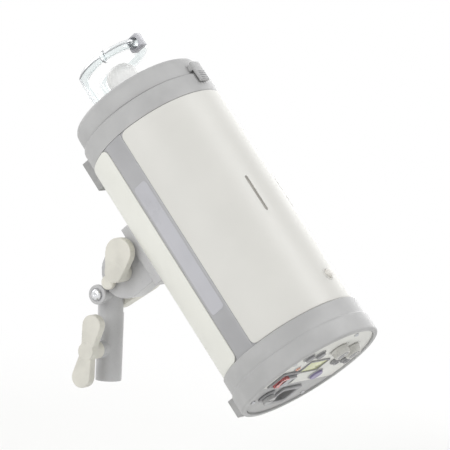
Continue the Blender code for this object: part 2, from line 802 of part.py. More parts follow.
def build_shoe_bolts(barrel, shoe, bottom, chassis):
    """Two bolts from the chassis plate through spacers and the lower cover into the shoe."""
    head_base = CHASSIS_TOP + GAP
    tip = -(SHELL_RADIUS + GAP + SHOE_BOLT_BITE)
    spacer_far_side = SHOE_BOLT_SIDE + SPACER_RADIUS
    spacer_low = GAP - math.sqrt(SHELL_INSIDE**2 - spacer_far_side**2)
    spacer_high = CHASSIS_LEVEL - GAP
    down = (-math.pi / 2, 0, 0)
    for name, side in (("front", 1), ("rear", -1)):
        forward = side * SHOE_BOLT_SPACING / 2
        place = (SHOE_BOLT_SIDE, head_base, forward)
        turned(
            "shoe_bolt_" + name,
            [
                (0, SHOE_BOLT_HEAD_HEIGHT),
                (SHOE_BOLT_HEAD_RADIUS, SHOE_BOLT_HEAD_HEIGHT),
                (SHOE_BOLT_HEAD_RADIUS, 0),
                (SHOE_BOLT_RADIUS, 0),
                (SHOE_BOLT_RADIUS, tip - head_base),
                (0, tip - head_base),
            ],
            barrel,
            place,
            down,
            "steel",
            SMALL_STEPS,
        )
        hole_depth = head_base - tip + GAP
        hole = rod(
            "shoe_hole_" + name,
            SHOE_BOLT_RADIUS + GAP,
            hole_depth,
            barrel,
            (SHOE_BOLT_SIDE, head_base - hole_depth / 2, forward),
            down,
            steps=KNOB_STEPS,
        )
        cut(shoe, hole)
        cut(bottom, hole)
        cut(chassis, hole)
        turned(
            "spacer_" + name,
            [
                (SHOE_BOLT_RADIUS + GAP, spacer_high),
                (SPACER_RADIUS, spacer_high),
                (SPACER_RADIUS, spacer_low),
                (SHOE_BOLT_RADIUS + GAP, spacer_low),
            ],
            barrel,
            (SHOE_BOLT_SIDE, 0, forward),
            down,
            "aluminium",
            SMALL_STEPS,
        )


def build_tilt_lever(pivot):
    axis = empty("tilt_lever_axis", pivot, (TILT_LUG_LEFT - GAP, 0, 0), (LEVER_REST, 0, 0))
    hub_length = LEVER_STANDOFF + LEVER_THICKNESS + LEVER_PROUD
    lever = rod(
        "tilt_lever", LEVER_HUB_RADIUS, hub_length, axis, (0, 0, 0), ALONG_X, "knob_putty", 24
    )
    lever.data.transform(shift_along(-hub_length / 2))
    paddle = slab(
        "lever_paddle",
        drop_outline(LEVER_HUB_RADIUS, LEVER_END_RADIUS, LEVER_REACH - LEVER_END_RADIUS),
        LEVER_THICKNESS,
        axis,
        (-LEVER_STANDOFF - LEVER_THICKNESS / 2, 0, 0),
        (math.pi / 2, 0, math.pi / 2),
    )
    join(lever, paddle)
    depth = LEVER_BOLT_DEPTH
    cut(lever, rod("lever_hole", TILT_BOLT_RADIUS + GAP, 2 * depth, axis, rotation=ALONG_X, steps=KNOB_STEPS))


def build_umbrella_screw(pivot):
    seat = TILT_LUG_LEFT - 2 * GAP
    tip = UMBRELLA_SIDE + UMBRELLA_BORE_RADIUS + GAP + seat
    turned(
        "umbrella_screw",
        [
            (0, UMBRELLA_KNOB_HEIGHT),
            (0.85 * UMBRELLA_KNOB_RADIUS, UMBRELLA_KNOB_HEIGHT),
            (UMBRELLA_KNOB_RADIUS, 0.8 * UMBRELLA_KNOB_HEIGHT),
            (UMBRELLA_KNOB_RADIUS, 0),
            (UMBRELLA_SCREW_RADIUS, 0),
            (UMBRELLA_SCREW_RADIUS, tip),
            (0, tip),
        ],
        pivot,
        (seat, 0, -UMBRELLA_DROP),
        (0, -math.pi / 2, 0),
        "knob_putty",
        16,
    )


def build_covers(barrel):
    upper = math.asin((TRIM_TOP + GAP) / SHELL_RADIUS)
    trim_high = math.asin(TRIM_TOP / SHELL_RADIUS)
    trim_low = math.asin((TRIM_TOP - TRIM_HEIGHT) / SHELL_RADIUS)
    lower = math.asin((TRIM_TOP - TRIM_HEIGHT - GAP) / SHELL_RADIUS)
    half, whole = math.pi, 2 * math.pi
    top = arc_shell("top_cover", SHELL_RADIUS, SHELL_WALL, upper, half - upper, "shell_grey", barrel)
    bottom = arc_shell(
        "bottom_cover", SHELL_RADIUS, SHELL_WALL, half - lower, whole + lower, "lower_cream", barrel
    )
    trim_wall = SHELL_WALL - TRIM_SUNK
    trim_radius = SHELL_RADIUS - TRIM_SUNK
    arc_shell("left_trim", trim_radius, trim_wall, trim_low, trim_high, "band_grey", barrel)
    arc_shell("right_trim", trim_radius, trim_wall, half - trim_high, half - trim_low, "band_grey", barrel)
    for name, side in (("left", 1), ("right", -1)):
        lean = side * SLOT_ANGLE
        cut(
            top,
            block(
                "slot_" + name,
                (SLOT_WIDTH, 6 * SHELL_WALL, SLOT_LENGTH),
                barrel,
                (SHELL_RADIUS * math.sin(lean), SHELL_RADIUS * math.cos(lean), SLOT_MIDDLE),
                (0, 0, -lean),
            ),
        )
    cut(
        top,
        rod(
            "sensor_hole",
            SENSOR_RADIUS + GAP,
            6 * SHELL_WALL,
            barrel,
            (0, SHELL_RADIUS, SENSOR_PLACE),
            (math.pi / 2, 0, 0),
            steps=KNOB_STEPS,
        ),
    )
    return top, bottom


def build_slave_sensor(barrel):
    flange_radius = SENSOR_RADIUS + SENSOR_FLANGE
    flange_top = math.sqrt(SHELL_INSIDE**2 - flange_radius**2) - GAP
    crown = SHELL_RADIUS + SENSOR_RADIUS * 0.5
    turned(
        "slave_sensor",
        [
            (0, crown + SENSOR_PROUD),
            (0.5 * SENSOR_RADIUS, crown + 0.75 * SENSOR_PROUD),
            (0.87 * SENSOR_RADIUS, crown),
            (SENSOR_RADIUS, SHELL_RADIUS),
            (SENSOR_RADIUS, flange_top),
            (flange_radius, flange_top),
            (flange_radius, flange_top - SENSOR_SEAT),
            (0, flange_top - SENSOR_SEAT),
        ],
        barrel,
        (0, 0, SENSOR_PLACE),
        (-math.pi / 2, 0, 0),
        "lens_red",
        16,
    )


def build_front_collar(barrel):
    turned(
        "front_collar",
        [
            (COLLAR_BORE_RADIUS, SLEEVE_FRONT),
            (SLEEVE_RADIUS, SLEEVE_FRONT),
            (SLEEVE_RADIUS, COLLAR_FRONT),
            (COLLAR_RADIUS - COLLAR_ROUND, COLLAR_FRONT),
            (COLLAR_RADIUS - 0.3 * COLLAR_ROUND, COLLAR_FRONT - 0.3 * COLLAR_ROUND),
            (COLLAR_RADIUS, COLLAR_FRONT - COLLAR_ROUND),
            (COLLAR_RADIUS, COLLAR_REAR),
            (SPIGOT_RADIUS, COLLAR_REAR),
            (SPIGOT_RADIUS, COLLAR_REAR - SPIGOT_LENGTH),
            (COLLAR_BORE_RADIUS, COLLAR_REAR - SPIGOT_LENGTH),
        ],
        barrel,
        finish="collar_grey",
    )
    turned(
        "ring_washer",
        [
            (SLEEVE_RADIUS + GAP, WASHER_REAR + WASHER_THICKNESS),
            (WASHER_RADIUS, WASHER_REAR + WASHER_THICKNESS),
            (WASHER_RADIUS, WASHER_REAR),
            (SLEEVE_RADIUS + GAP, WASHER_REAR),
        ],
        barrel,
        finish="fibre",
    )


def build_lock_ring(barrel):
    """Bayonet ring that turns on the collar's sleeve by its tab."""
    lip_rear = SLEEVE_FRONT + GAP
    curve = []
    for i in range(5):
        angle = math.pi / 2 * (1 - i / 4)
        curve.append(
            (
                RING_RADIUS - RING_ROUND * (1 - math.cos(angle)),
                RING_FRONT - RING_ROUND * (1 - math.sin(angle)),
            )
        )
    ring = turned(
        "lock_ring",
        [(RING_MOUTH_RADIUS, RING_FRONT)]
        + curve
        + [
            (RING_RADIUS, RING_REAR),
            (SLEEVE_RADIUS + GAP, RING_REAR),
            (SLEEVE_RADIUS + GAP, lip_rear),
            (RING_MOUTH_RADIUS, lip_rear),
        ],
        barrel,
        finish="collar_grey",
    )
    lip = RING_FRONT - lip_rear
    for i in range(LUG_COUNT):
        angle = math.pi / 2 + math.pi / LUG_COUNT + 2 * math.pi * i / LUG_COUNT
        join(
            ring,
            block(
                f"bayonet_{i + 1}",
                (2 * BAYONET_DEPTH, BAYONET_WIDTH, 0.8 * lip),
                barrel,
                (
                    RING_MOUTH_RADIUS * math.cos(angle),
                    RING_MOUTH_RADIUS * math.sin(angle),
                    lip_rear + 0.5 * lip,
                ),
                (0, 0, angle),
            ),
        )
    tab_low = COLLAR_RADIUS + 2 * GAP
    tab_front = RING_REAR + TAB_ROOT
    tab_rear = RING_REAR - TAB_OVERHANG
    tab = block(
        "lock_tab",
        (TAB_WIDTH, TAB_HEIGHT, tab_front - tab_rear),
        barrel,
        (0, tab_low + TAB_HEIGHT / 2, between(tab_front, tab_rear)),
        bevel=0.25 * TAB_HEIGHT,
    )
    root_low = between(SLEEVE_RADIUS, RING_RADIUS)
    root_high = tab_low + TAB_HEIGHT / 2
    root = block(
        "lock_tab_root",
        (0.9 * TAB_WIDTH, root_high - root_low, 0.8 * TAB_ROOT),
        barrel,
        (0, between(root_low, root_high), RING_REAR + 0.45 * TAB_ROOT),
    )
    join(tab, root)
    join(ring, tab)


def build_feet(barrel):
    front_end = SHELL_FRONT + FRONT_FOOT_OVERLAP
    front = block(
        "front_foot",
        (FRONT_FOOT_WIDTH, 2 * FRONT_FOOT_WIDTH, FRONT_FOOT_LENGTH),
        barrel,
        (0, FRONT_FOOT_WIDTH - SHELL_RADIUS - GAP - FRONT_FOOT_DEPTH, front_end - FRONT_FOOT_LENGTH / 2),
        finish="rubber",
    )
    cut(
        front,
        rod("front_foot_bed", SHELL_RADIUS + GAP, 3 * FRONT_FOOT_LENGTH, barrel, (0, 0, front_end), steps=72),
    )
    cut(front, foot_top("front_foot_top", FRONT_FOOT_WIDTH, front_end, SHELL_RADIUS, barrel))
    rear_end = REAR_END + REAR_ROUND
    rear = block(
        "rear_foot",
        (REAR_FOOT_WIDTH, 2 * REAR_FOOT_WIDTH, REAR_FOOT_LENGTH),
        barrel,
        (0, REAR_FOOT_WIDTH - REAR_RIM_RADIUS - GAP - REAR_FOOT_DEPTH, rear_end + REAR_FOOT_LENGTH / 2),
        finish="rubber",
    )
    cut(
        rear,
        rod("rear_foot_bed", REAR_RIM_RADIUS + GAP, 3 * REAR_FOOT_LENGTH, barrel, (0, 0, rear_end), steps=72),
    )
    cut(rear, foot_top("rear_foot_top", REAR_FOOT_WIDTH, rear_end, REAR_RIM_RADIUS, barrel))


def foot_top(name, width, forward, radius, barrel):
    """Takes away what a foot's block has above the level where the barrel leaves its sides."""
    level = -math.sqrt((radius + GAP) ** 2 - (width / 2) ** 2)
    return block(name, (2 * width, 6 * width, 6 * width), barrel, (0, level + 3 * width, forward))


def build_reflector(barrel):
    radius = COLLAR_BORE_RADIUS - GAP
    hole = LAMP_SOCKET_RADIUS + GAP
    edge = 0.0012
    dish = turned(
        "reflector",
        [
            (hole, DISH_FLOOR),
            (REFLECTOR_FLAT_RADIUS, DISH_FLOOR),
            (radius - edge, DISH_FLOOR + REFLECTOR_RISE),
            (radius, DISH_FLOOR + REFLECTOR_RISE),
            (radius, DISH_FLOOR + REFLECTOR_RISE - REFLECTOR_WALL),
            (radius - 0.7 * edge, DISH_FLOOR + REFLECTOR_RISE - REFLECTOR_WALL),
            (REFLECTOR_FLAT_RADIUS + 0.3 * edge, DISH_FLOOR - REFLECTOR_WALL),
            (hole, DISH_FLOOR - REFLECTOR_WALL),
        ],
        barrel,
        finish="aluminium",
    )
    for name, side in (("left", 1), ("right", -1)):
        across, upward = tube_leg(side)
        cut(
            dish,
            rod(
                "reflector_hole_" + name,
                TUBE_SOCKET_RADIUS + GAP,
                4 * REFLECTOR_RISE,
                barrel,
                (across, upward, DISH_FLOOR),
                steps=KNOB_STEPS,
            ),
        )


def build_modelling_lamp(barrel):
    front = DISH_FLOOR + LAMP_SOCKET_PROUD
    rear = front - LAMP_SOCKET_LENGTH
    floor = rear + LAMP_SOCKET_FLOOR
    bore = LAMP_BASE_RADIUS + GAP
    turned(
        "lamp_socket",
        [
            (0, floor),
            (bore, floor),
            (bore, front),
            (LAMP_SOCKET_RADIUS, front),
            (LAMP_SOCKET_RADIUS, rear),
            (0, rear),
        ],
        barrel,
        finish="ceramic",
        steps=28,
    )
    shoulder = front + LAMP_BASE_PROUD
    neck = shoulder + LAMP_NECK_LENGTH
    turned(
        "lamp_base",
        [
            (0, neck),
            (LAMP_NECK_RADIUS, neck),
            (LAMP_BASE_RADIUS, shoulder),
            (LAMP_BASE_RADIUS, floor + GAP),
            (0, floor + GAP),
        ],
        barrel,
        finish="steel",
        steps=24,
    )
    start = neck + GAP
    end = start + LAMP_GLASS_LENGTH
    dome = [(0, end)]
    for i in range(1, 5):
        angle = math.pi / 2 * i / 4
        dome.append(
            (LAMP_GLASS_RADIUS * math.sin(angle), end - LAMP_GLASS_RADIUS * (1 - math.cos(angle)))
        )
    turned(
        "modelling_lamp",
        dome + [(LAMP_GLASS_RADIUS, start + 0.2 * LAMP_GLASS_LENGTH), (LAMP_NECK_RADIUS, start), (0, start)],
        barrel,
        finish="glass",
        steps=24,
    )


def tube_leg(side):
    """Where a leg of the flash tube stands, (left, up). Side is 1 on the left and -1 on the right."""
    angle = TUBE_OPEN - math.pi / 2
    across = TUBE_RING_RADIUS * math.cos(angle) + TUBE_BEND * math.sin(angle)
    upward = TUBE_RING_RADIUS * math.sin(angle) - TUBE_BEND * math.cos(angle)
    return side * across, upward


def ring_plane():
    return RING_FRONT + TUBE_AHEAD


def build_flash_tube(barrel):
    plane = ring_plane()
    start = TUBE_OPEN - math.pi / 2
    end = math.pi - start
    foot = DISH_FLOOR + TUBE_SOCKET_PROUD - TUBE_SOCKET_BITE + GAP
    across, upward = tube_leg(1)
    first_leg = [(across, upward, foot), (across, upward, between(foot, plane))]
    bend = []
    for i in range(4):
        angle = math.pi / 2 * (1 - i / 4)
        out = TUBE_BEND * math.sin(angle)
        back = TUBE_BEND * (1 - math.cos(angle))
        bend.append(
            (
                TUBE_RING_RADIUS * math.cos(start) + out * math.sin(start),
                TUBE_RING_RADIUS * math.sin(start) - out * math.cos(start),
                plane - back,
            )
        )
    ring_steps = 28
    ring = []
    for i in range(ring_steps + 1):
        angle = start + (end - start) * i / ring_steps
        ring.append((TUBE_RING_RADIUS * math.cos(angle), TUBE_RING_RADIUS * math.sin(angle), plane))
    half = first_leg + bend
    other = [(-across, upward, forward) for across, upward, forward in reversed(half)]
    tube("flash_tube", half + ring + other, TUBE_RADIUS, barrel, "glass", 2)
    front = DISH_FLOOR + TUBE_SOCKET_PROUD
    floor = front - TUBE_SOCKET_BITE
    bore = TUBE_RADIUS + GAP
    for name, side in (("left", 1), ("right", -1)):
        across, upward = tube_leg(side)
        turned(
            "tube_socket_" + name,
            [
                (0, floor),
                (bore, floor),
                (bore, front),
                (TUBE_SOCKET_RADIUS, front),
                (TUBE_SOCKET_RADIUS, front - TUBE_SOCKET_LENGTH),
                (0, front - TUBE_SOCKET_LENGTH),
            ],
            barrel,
            (across, upward, 0),
            finish="ceramic",
            steps=KNOB_STEPS,
        )


def build_tube_clip(barrel):
    plane = ring_plane()
    clip = block(
        "tube_clip",
        (CLIP_WIDTH, CLIP_SIDE, CLIP_SIDE),
        barrel,
        (0, TUBE_RING_RADIUS, plane),
        finish="collar_grey",
        bevel=0.08 * CLIP_SIDE,
    )
    cut(
        clip,
        rod(
            "clip_hole",
            TUBE_RADIUS + CLIP_PLAY,
            2 * CLIP_WIDTH,
            barrel,
            (0, TUBE_RING_RADIUS, plane),
            ALONG_X,
            steps=KNOB_STEPS,
        ),
    )


def build_trigger_wire(barrel):
    """Runs along the glass ring, takes one turn around it and goes back to the dish."""
    plane = ring_plane()
    off = TUBE_RADIUS + GAP + WIRE_RADIUS
    loop_start, loop_end = WIRE_LOOP + WIRE_LOOP_SPREAD, WIRE_LOOP - WIRE_LOOP_SPREAD
    points = []
    stretches = ((WIRE_FIRST, loop_start, 10), (loop_start, loop_end, 16), (loop_end, WIRE_LAST, 14))
    for start, end, steps in stretches:
        for i in range(steps):
            angle = start + (end - start) * i / steps
            share = (loop_start - angle) / (loop_start - loop_end)
            around = 2 * math.pi * min(1, max(0, share))
            out = TUBE_RING_RADIUS + off * math.cos(around)
            points.append((out * math.cos(angle), out * math.sin(angle), plane + off * math.sin(around)))
    out = TUBE_RING_RADIUS + off
    for forward in (plane, DISH_FLOOR + WIRE_RADIUS):
        points.append((out * math.cos(WIRE_LAST), out * math.sin(WIRE_LAST), forward))
    tube("trigger_wire", points, WIRE_RADIUS, barrel, "steel", 1)


# Rear end


def build_rear_collar(barrel):
    inside = REAR_RADIUS - REAR_WALL
    seat = PANEL_RADIUS - PANEL_SEAT
    seat_rear = PANEL_BACK + GAP
    seat_front = seat_rear + SEAT_LENGTH
    band_end = REAR_FRONT - REAR_BAND
    step = REAR_RIM_RADIUS - REAR_RADIUS
    turned(
        "rear_collar",
        [
            (SPIGOT_RADIUS - REAR_WALL, REAR_FRONT + SPIGOT_LENGTH),
            (SPIGOT_RADIUS, REAR_FRONT + SPIGOT_LENGTH),
            (SPIGOT_RADIUS, REAR_FRONT),
            (REAR_RADIUS, REAR_FRONT),
            (REAR_RADIUS, band_end),
            (REAR_RIM_RADIUS, band_end - step),
            (REAR_RIM_RADIUS, REAR_END + REAR_ROUND),
            (REAR_RIM_RADIUS - 0.3 * REAR_ROUND, REAR_END + 0.3 * REAR_ROUND),
            (REAR_RIM_RADIUS - REAR_ROUND, REAR_END),
            (inside, REAR_END),
            (inside, seat_rear),
            (seat, seat_rear),
            (seat, seat_front),
            (SPIGOT_RADIUS - REAR_WALL, seat_front),
        ],
        barrel,
        finish="collar_grey",
    )


def build_panels(barrel):
    """The round rear plate, split across into a control panel and a connector panel."""
    middle = between(PANEL_FACE, PANEL_BACK)
    panels = []
    for name, finish, low, high in (
        ("control_panel", "panel_grey", -2 * PANEL_RADIUS, PANEL_SPLIT + GAP / 2),
        ("connector_panel", "collar_grey", PANEL_SPLIT - GAP / 2, 2 * PANEL_RADIUS),
    ):
        panel = rod(name, PANEL_RADIUS, PANEL_THICKNESS, barrel, (0, 0, middle), UPRIGHT, finish, ROUND_STEPS)
        cut(
            panel,
            block(
                name + "_split",
                (4 * PANEL_RADIUS, high - low, 4 * PANEL_THICKNESS),
                barrel,
                (0, between(low, high), middle),
            ),
        )
        panels.append(panel)
    return panels


def on_panel(place):
    """A drawn place or size, which follows the panel's rim."""
    return place[0] * PANEL_SPREAD, place[1] * PANEL_SPREAD


def round_hole(panel, name, radius, place, barrel):
    cut(
        panel,
        rod(
            name,
            radius + GAP,
            6 * PANEL_THICKNESS,
            barrel,
            (*on_panel(place), between(PANEL_FACE, PANEL_BACK)),
            steps=KNOB_STEPS,
        ),
    )


def square_hole(panel, name, size, place, barrel):
    cut(
        panel,
        block(
            name,
            (size[0] + 2 * GAP, size[1] + 2 * GAP, 6 * PANEL_THICKNESS),
            barrel,
            (*on_panel(place), between(PANEL_FACE, PANEL_BACK)),
        ),
    )


def build_display(barrel, control):
    outer = PANEL_FACE - LCD_PROUD
    inner = CONTROL_BOARD_FACE - GAP
    size = on_panel(LCD_SIZE)
    block(
        "lcd_window",
        (*size, inner - outer),
        barrel,
        (*on_panel(LCD_PLACE), between(inner, outer)),
        finish="lcd",
    )
    square_hole(control, "lcd_hole", size, LCD_PLACE, barrel)
    low, high = BOARD_LOW * PANEL_SPREAD, BOARD_HIGH * PANEL_SPREAD
    block(
        "control_board",
        (BOARD_SPAN * PANEL_SPREAD, high - low, BOARD_THICKNESS),
        barrel,
        (0, between(low, high), CONTROL_BOARD_FACE + BOARD_THICKNESS / 2),
        finish="board_green",
    )


def build_dials(barrel, control):
    base = PANEL_FACE - GAP
    tip = CONTROL_BOARD_FACE - GAP
    for name, place in (("power_dial", POWER_DIAL_PLACE), ("model_dial", MODEL_DIAL_PLACE)):
        turned(
            name,
            [
                (0, tip),
                (DIAL_SHAFT_RADIUS, tip),
                (DIAL_SHAFT_RADIUS, base),
                (DIAL_RADIUS, base),
                (DIAL_RADIUS, base - DIAL_HEIGHT + DIAL_CHAMFER),
                (DIAL_RADIUS - DIAL_CHAMFER, base - DIAL_HEIGHT),
                (0, base - DIAL_HEIGHT),
            ],
            barrel,
            (*on_panel(place), 0),
            finish="knob_putty",
            steps=KNOB_STEPS,
        )
        round_hole(control, name + "_hole", DIAL_SHAFT_RADIUS, place, barrel)


def build_buttons(barrel, control):
    outer = PANEL_FACE - BUTTON_PROUD
    inner = CONTROL_BOARD_FACE - BUTTON_TRAVEL_ROOM
    for name, place, radius, finish in (
        ("test_button", TEST_BUTTON_PLACE, TEST_BUTTON_RADIUS, "button_violet"),
        ("mode_button_left", MODE_LEFT_PLACE, MODE_BUTTON_RADIUS, "collar_grey"),
        ("mode_button_right", MODE_RIGHT_PLACE, MODE_BUTTON_RADIUS, "collar_grey"),
    ):
        turned(
            name,
            [
                (0, inner),
                (radius, inner),
                (radius, outer + 0.15 * radius),
                (0.85 * radius, outer),
                (0, outer),
            ],
            barrel,
            (*on_panel(place), 0),
            finish=finish,
            steps=KNOB_STEPS,
        )
        round_hole(control, name + "_hole", radius, place, barrel)


def build_ready_lamp(barrel, control):
    inner = CONTROL_BOARD_FACE - GAP
    turned(
        "ready_lamp",
        [
            (0, inner),
            (READY_RADIUS, inner),
            (READY_RADIUS, PANEL_FACE - 0.3 * READY_PROUD),
            (0.7 * READY_RADIUS, PANEL_FACE - 0.8 * READY_PROUD),
            (0, PANEL_FACE - READY_PROUD),
        ],
        barrel,
        (*on_panel(READY_PLACE), 0),
        finish="lens_amber",
        steps=SMALL_STEPS,
    )
    round_hole(control, "ready_hole", READY_RADIUS, READY_PLACE, barrel)


def build_rocker(barrel, control):
    """A rocker in its frame, tipping up and down about a line across the panel."""
    size = on_panel(ROCKER_SIZE)
    well = (size[0] + 2 * GAP, size[1] + 2 * ROCKER_PLAY)
    body = (well[0] + ROCKER_FRAME, well[1] + ROCKER_FRAME)
    flange = (body[0] + ROCKER_FRAME, body[1] + ROCKER_FRAME)
    face = PANEL_FACE - GAP
    inner = PANEL_BACK + ROCKER_DEPTH
    frame = block(
        "rocker_frame",
        (*flange, ROCKER_FLANGE),
        barrel,
        (*on_panel(ROCKER_PLACE), face - ROCKER_FLANGE / 2),
        finish="band_grey",
    )
    sunk = block(
        "rocker_body",
        (*body, inner - face + ROCKER_FLANGE / 2),
        barrel,
        (*on_panel(ROCKER_PLACE), between(inner, face - ROCKER_FLANGE / 2)),
    )
    join(frame, sunk)
    floor = inner - ROCKER_FRAME / 2
    outer = face - 4 * ROCKER_FLANGE
    well_middle = (*on_panel(ROCKER_PLACE), between(floor, outer))
    cut(frame, block("rocker_well", (*well, floor - outer), barrel, well_middle))
    square_hole(control, "rocker_hole", body, ROCKER_PLACE, barrel)
    pivot = face - ROCKER_FLANGE
    # The rocker's back is a half round about its pivot line, so that it clears the well's floor.
    rocker = block(
        "power_rocker",
        (*size, ROCKER_PROUD + ROCKER_FLANGE),
        barrel,
        (*on_panel(ROCKER_PLACE), pivot),
        finish="lens_red",
        bevel=0.2 * ROCKER_PROUD,
    )
    rocker.data.transform(shift_along(between(ROCKER_FLANGE, -ROCKER_PROUD)))
    back = rod(
        "rocker_back",
        floor - pivot - GAP,
        0.98 * size[0],
        barrel,
        (*on_panel(ROCKER_PLACE), pivot),
        ALONG_X,
        steps=24,
    )
    outside = (2 * size[0], 4 * size[1], size[1])
    outside_middle = (*on_panel(ROCKER_PLACE), pivot - size[1] / 2)
    cut(back, block("rocker_back_cut", outside, barrel, outside_middle))
    join(rocker, back)


def build_jacks(barrel, control):
    face = PANEL_FACE - GAP
    inner = PANEL_BACK + 0.5 * JACK_DEPTH
    for name, place in (("sync_jack", SYNC_JACK_PLACE), ("remote_jack", REMOTE_JACK_PLACE)):
        floor = face - JACK_PROUD + JACK_DEPTH
        turned(
            name,
            [
                (0, inner),
                (JACK_BARREL_RADIUS, inner),
                (JACK_BARREL_RADIUS, face),
                (JACK_RADIUS, face),
                (JACK_RADIUS, face - JACK_PROUD),
                (JACK_HOLE_RADIUS, face - JACK_PROUD),
                (JACK_HOLE_RADIUS, floor),
                (0, floor),
            ],
            barrel,
            (*on_panel(place), 0),
            finish="collar_grey",
            steps=KNOB_STEPS,
        )
        round_hole(control, name + "_hole", JACK_BARREL_RADIUS, place, barrel)


def build_mains_inlet(barrel, connector):
    face = PANEL_FACE - GAP
    inner = face + INLET_DEPTH
    outer = face - INLET_FLANGE
    floor = inner - INLET_FLOOR
    across, upward = on_panel(INLET_PLACE)
    inlet = block(
        "mains_inlet",
        (INLET_SIZE[0] + 2 * INLET_LIP, INLET_SIZE[1] + 2 * INLET_LIP, INLET_FLANGE),
        barrel,
        (across, upward, between(face, outer)),
        finish="band_grey",
    )
    sunk_from = between(face, outer)
    sunk_middle = (across, upward, between(inner, sunk_from))
    join(inlet, block("inlet_body", (*INLET_SIZE, inner - sunk_from), barrel, sunk_middle))
    mouth = (INLET_SIZE[0] - 2 * INLET_WALL, INLET_SIZE[1] - 2 * INLET_WALL)
    out = outer - INLET_FLANGE
    cut(inlet, block("inlet_well", (*mouth, floor - out), barrel, (across, upward, between(floor, out))))
    for i, (side, rise) in enumerate(((-1, -0.5), (0, 0.5), (1, -0.5))):
        root = floor + 0.3 * INLET_FLOOR
        tip = floor - PIN_LENGTH
        join(
            inlet,
            block(
                f"inlet_pin_{i + 1}",
                (*PIN_SIZE, root - tip),
                barrel,
                (across + side * PIN_SPREAD, upward + rise * PIN_STEP, between(root, tip)),
            ),
        )
    square_hole(connector, "inlet_hole", INLET_SIZE, INLET_PLACE, barrel)


def build_fuse(barrel, connector):
    face = PANEL_FACE - GAP
    inner = face + FUSE_DEPTH
    outer = face - FUSE_FLANGE
    turned(
        "fuse_holder",
        [
            (0, inner),
            (FUSE_BARREL_RADIUS, inner),
            (FUSE_BARREL_RADIUS, face),
            (FUSE_FLANGE_RADIUS, face),
            (FUSE_FLANGE_RADIUS, outer),
            (0, outer),
        ],
        barrel,
        (*on_panel(FUSE_PLACE), 0),
        finish="band_grey",
        steps=KNOB_STEPS,
    )
    round_hole(connector, "fuse_hole", FUSE_BARREL_RADIUS, FUSE_PLACE, barrel)
    seat = outer - GAP
    cap = rod(
        "fuse_cap",
        FUSE_CAP_RADIUS,
        FUSE_CAP_HEIGHT,
        barrel,
        (*on_panel(FUSE_PLACE), seat - FUSE_CAP_HEIGHT / 2),
        finish="band_grey",
        steps=KNOB_STEPS,
    )
    cut(
        cap,
        block(
            "fuse_cap_slot",
            (3 * FUSE_CAP_RADIUS, 0.25 * FUSE_CAP_RADIUS, FUSE_CAP_HEIGHT),
            barrel,
            (*on_panel(FUSE_PLACE), seat - 1.15 * FUSE_CAP_HEIGHT),
        ),
    )


# Inside the housing


def build_chassis(barrel):
    return block(
        "chassis_plate",
        (CHASSIS_WIDTH, CHASSIS_THICKNESS, CHASSIS_FRONT - CHASSIS_REAR),
        barrel,
        (0, between(CHASSIS_LEVEL, CHASSIS_TOP), between(CHASSIS_FRONT, CHASSIS_REAR)),
        finish="aluminium",
    )


def build_capacitors(barrel):
    can_front = CAN_REAR + CAN_LENGTH
    strap_middle = between(CAN_REAR, can_front)
    strap_top = CAN_LEVEL + CAN_RADIUS + GAP + CLAMP_STRAP_WALL
    strap_low = CHASSIS_TOP + GAP
    strap_width = CAN_SPACING + 2 * (CAN_RADIUS + GAP + CLAMP_STRAP_WALL)
    strap = block(
        "capacitor_clamp",
        (strap_width, strap_top - strap_low, CLAMP_STRAP_LENGTH),
        barrel,
        (0, between(strap_top, strap_low), strap_middle),
        finish="aluminium",
    )
    for name, side in (("left", 1), ("right", -1)):
        across = side * CAN_SPACING / 2
        turned(
            "capacitor_" + name,
            [
                (0, can_front),
                (CAN_RADIUS - CAN_ROUND, can_front),
                (CAN_RADIUS, can_front - CAN_ROUND),
                (CAN_RADIUS, CAN_REAR + CAN_ROUND),
                (CAN_RADIUS - CAN_ROUND, CAN_REAR),
                (0, CAN_REAR),
            ],
            barrel,
            (across, CAN_LEVEL, 0),
            finish="can_blue",
            steps=28,
        )
        cut(
            strap,
            rod(
                "strap_bore_" + name,
                CAN_RADIUS + 1.5 * GAP,
                2 * CLAMP_STRAP_LENGTH,
                barrel,
                (across, CAN_LEVEL, strap_middle),
                steps=56,
            ),
        )


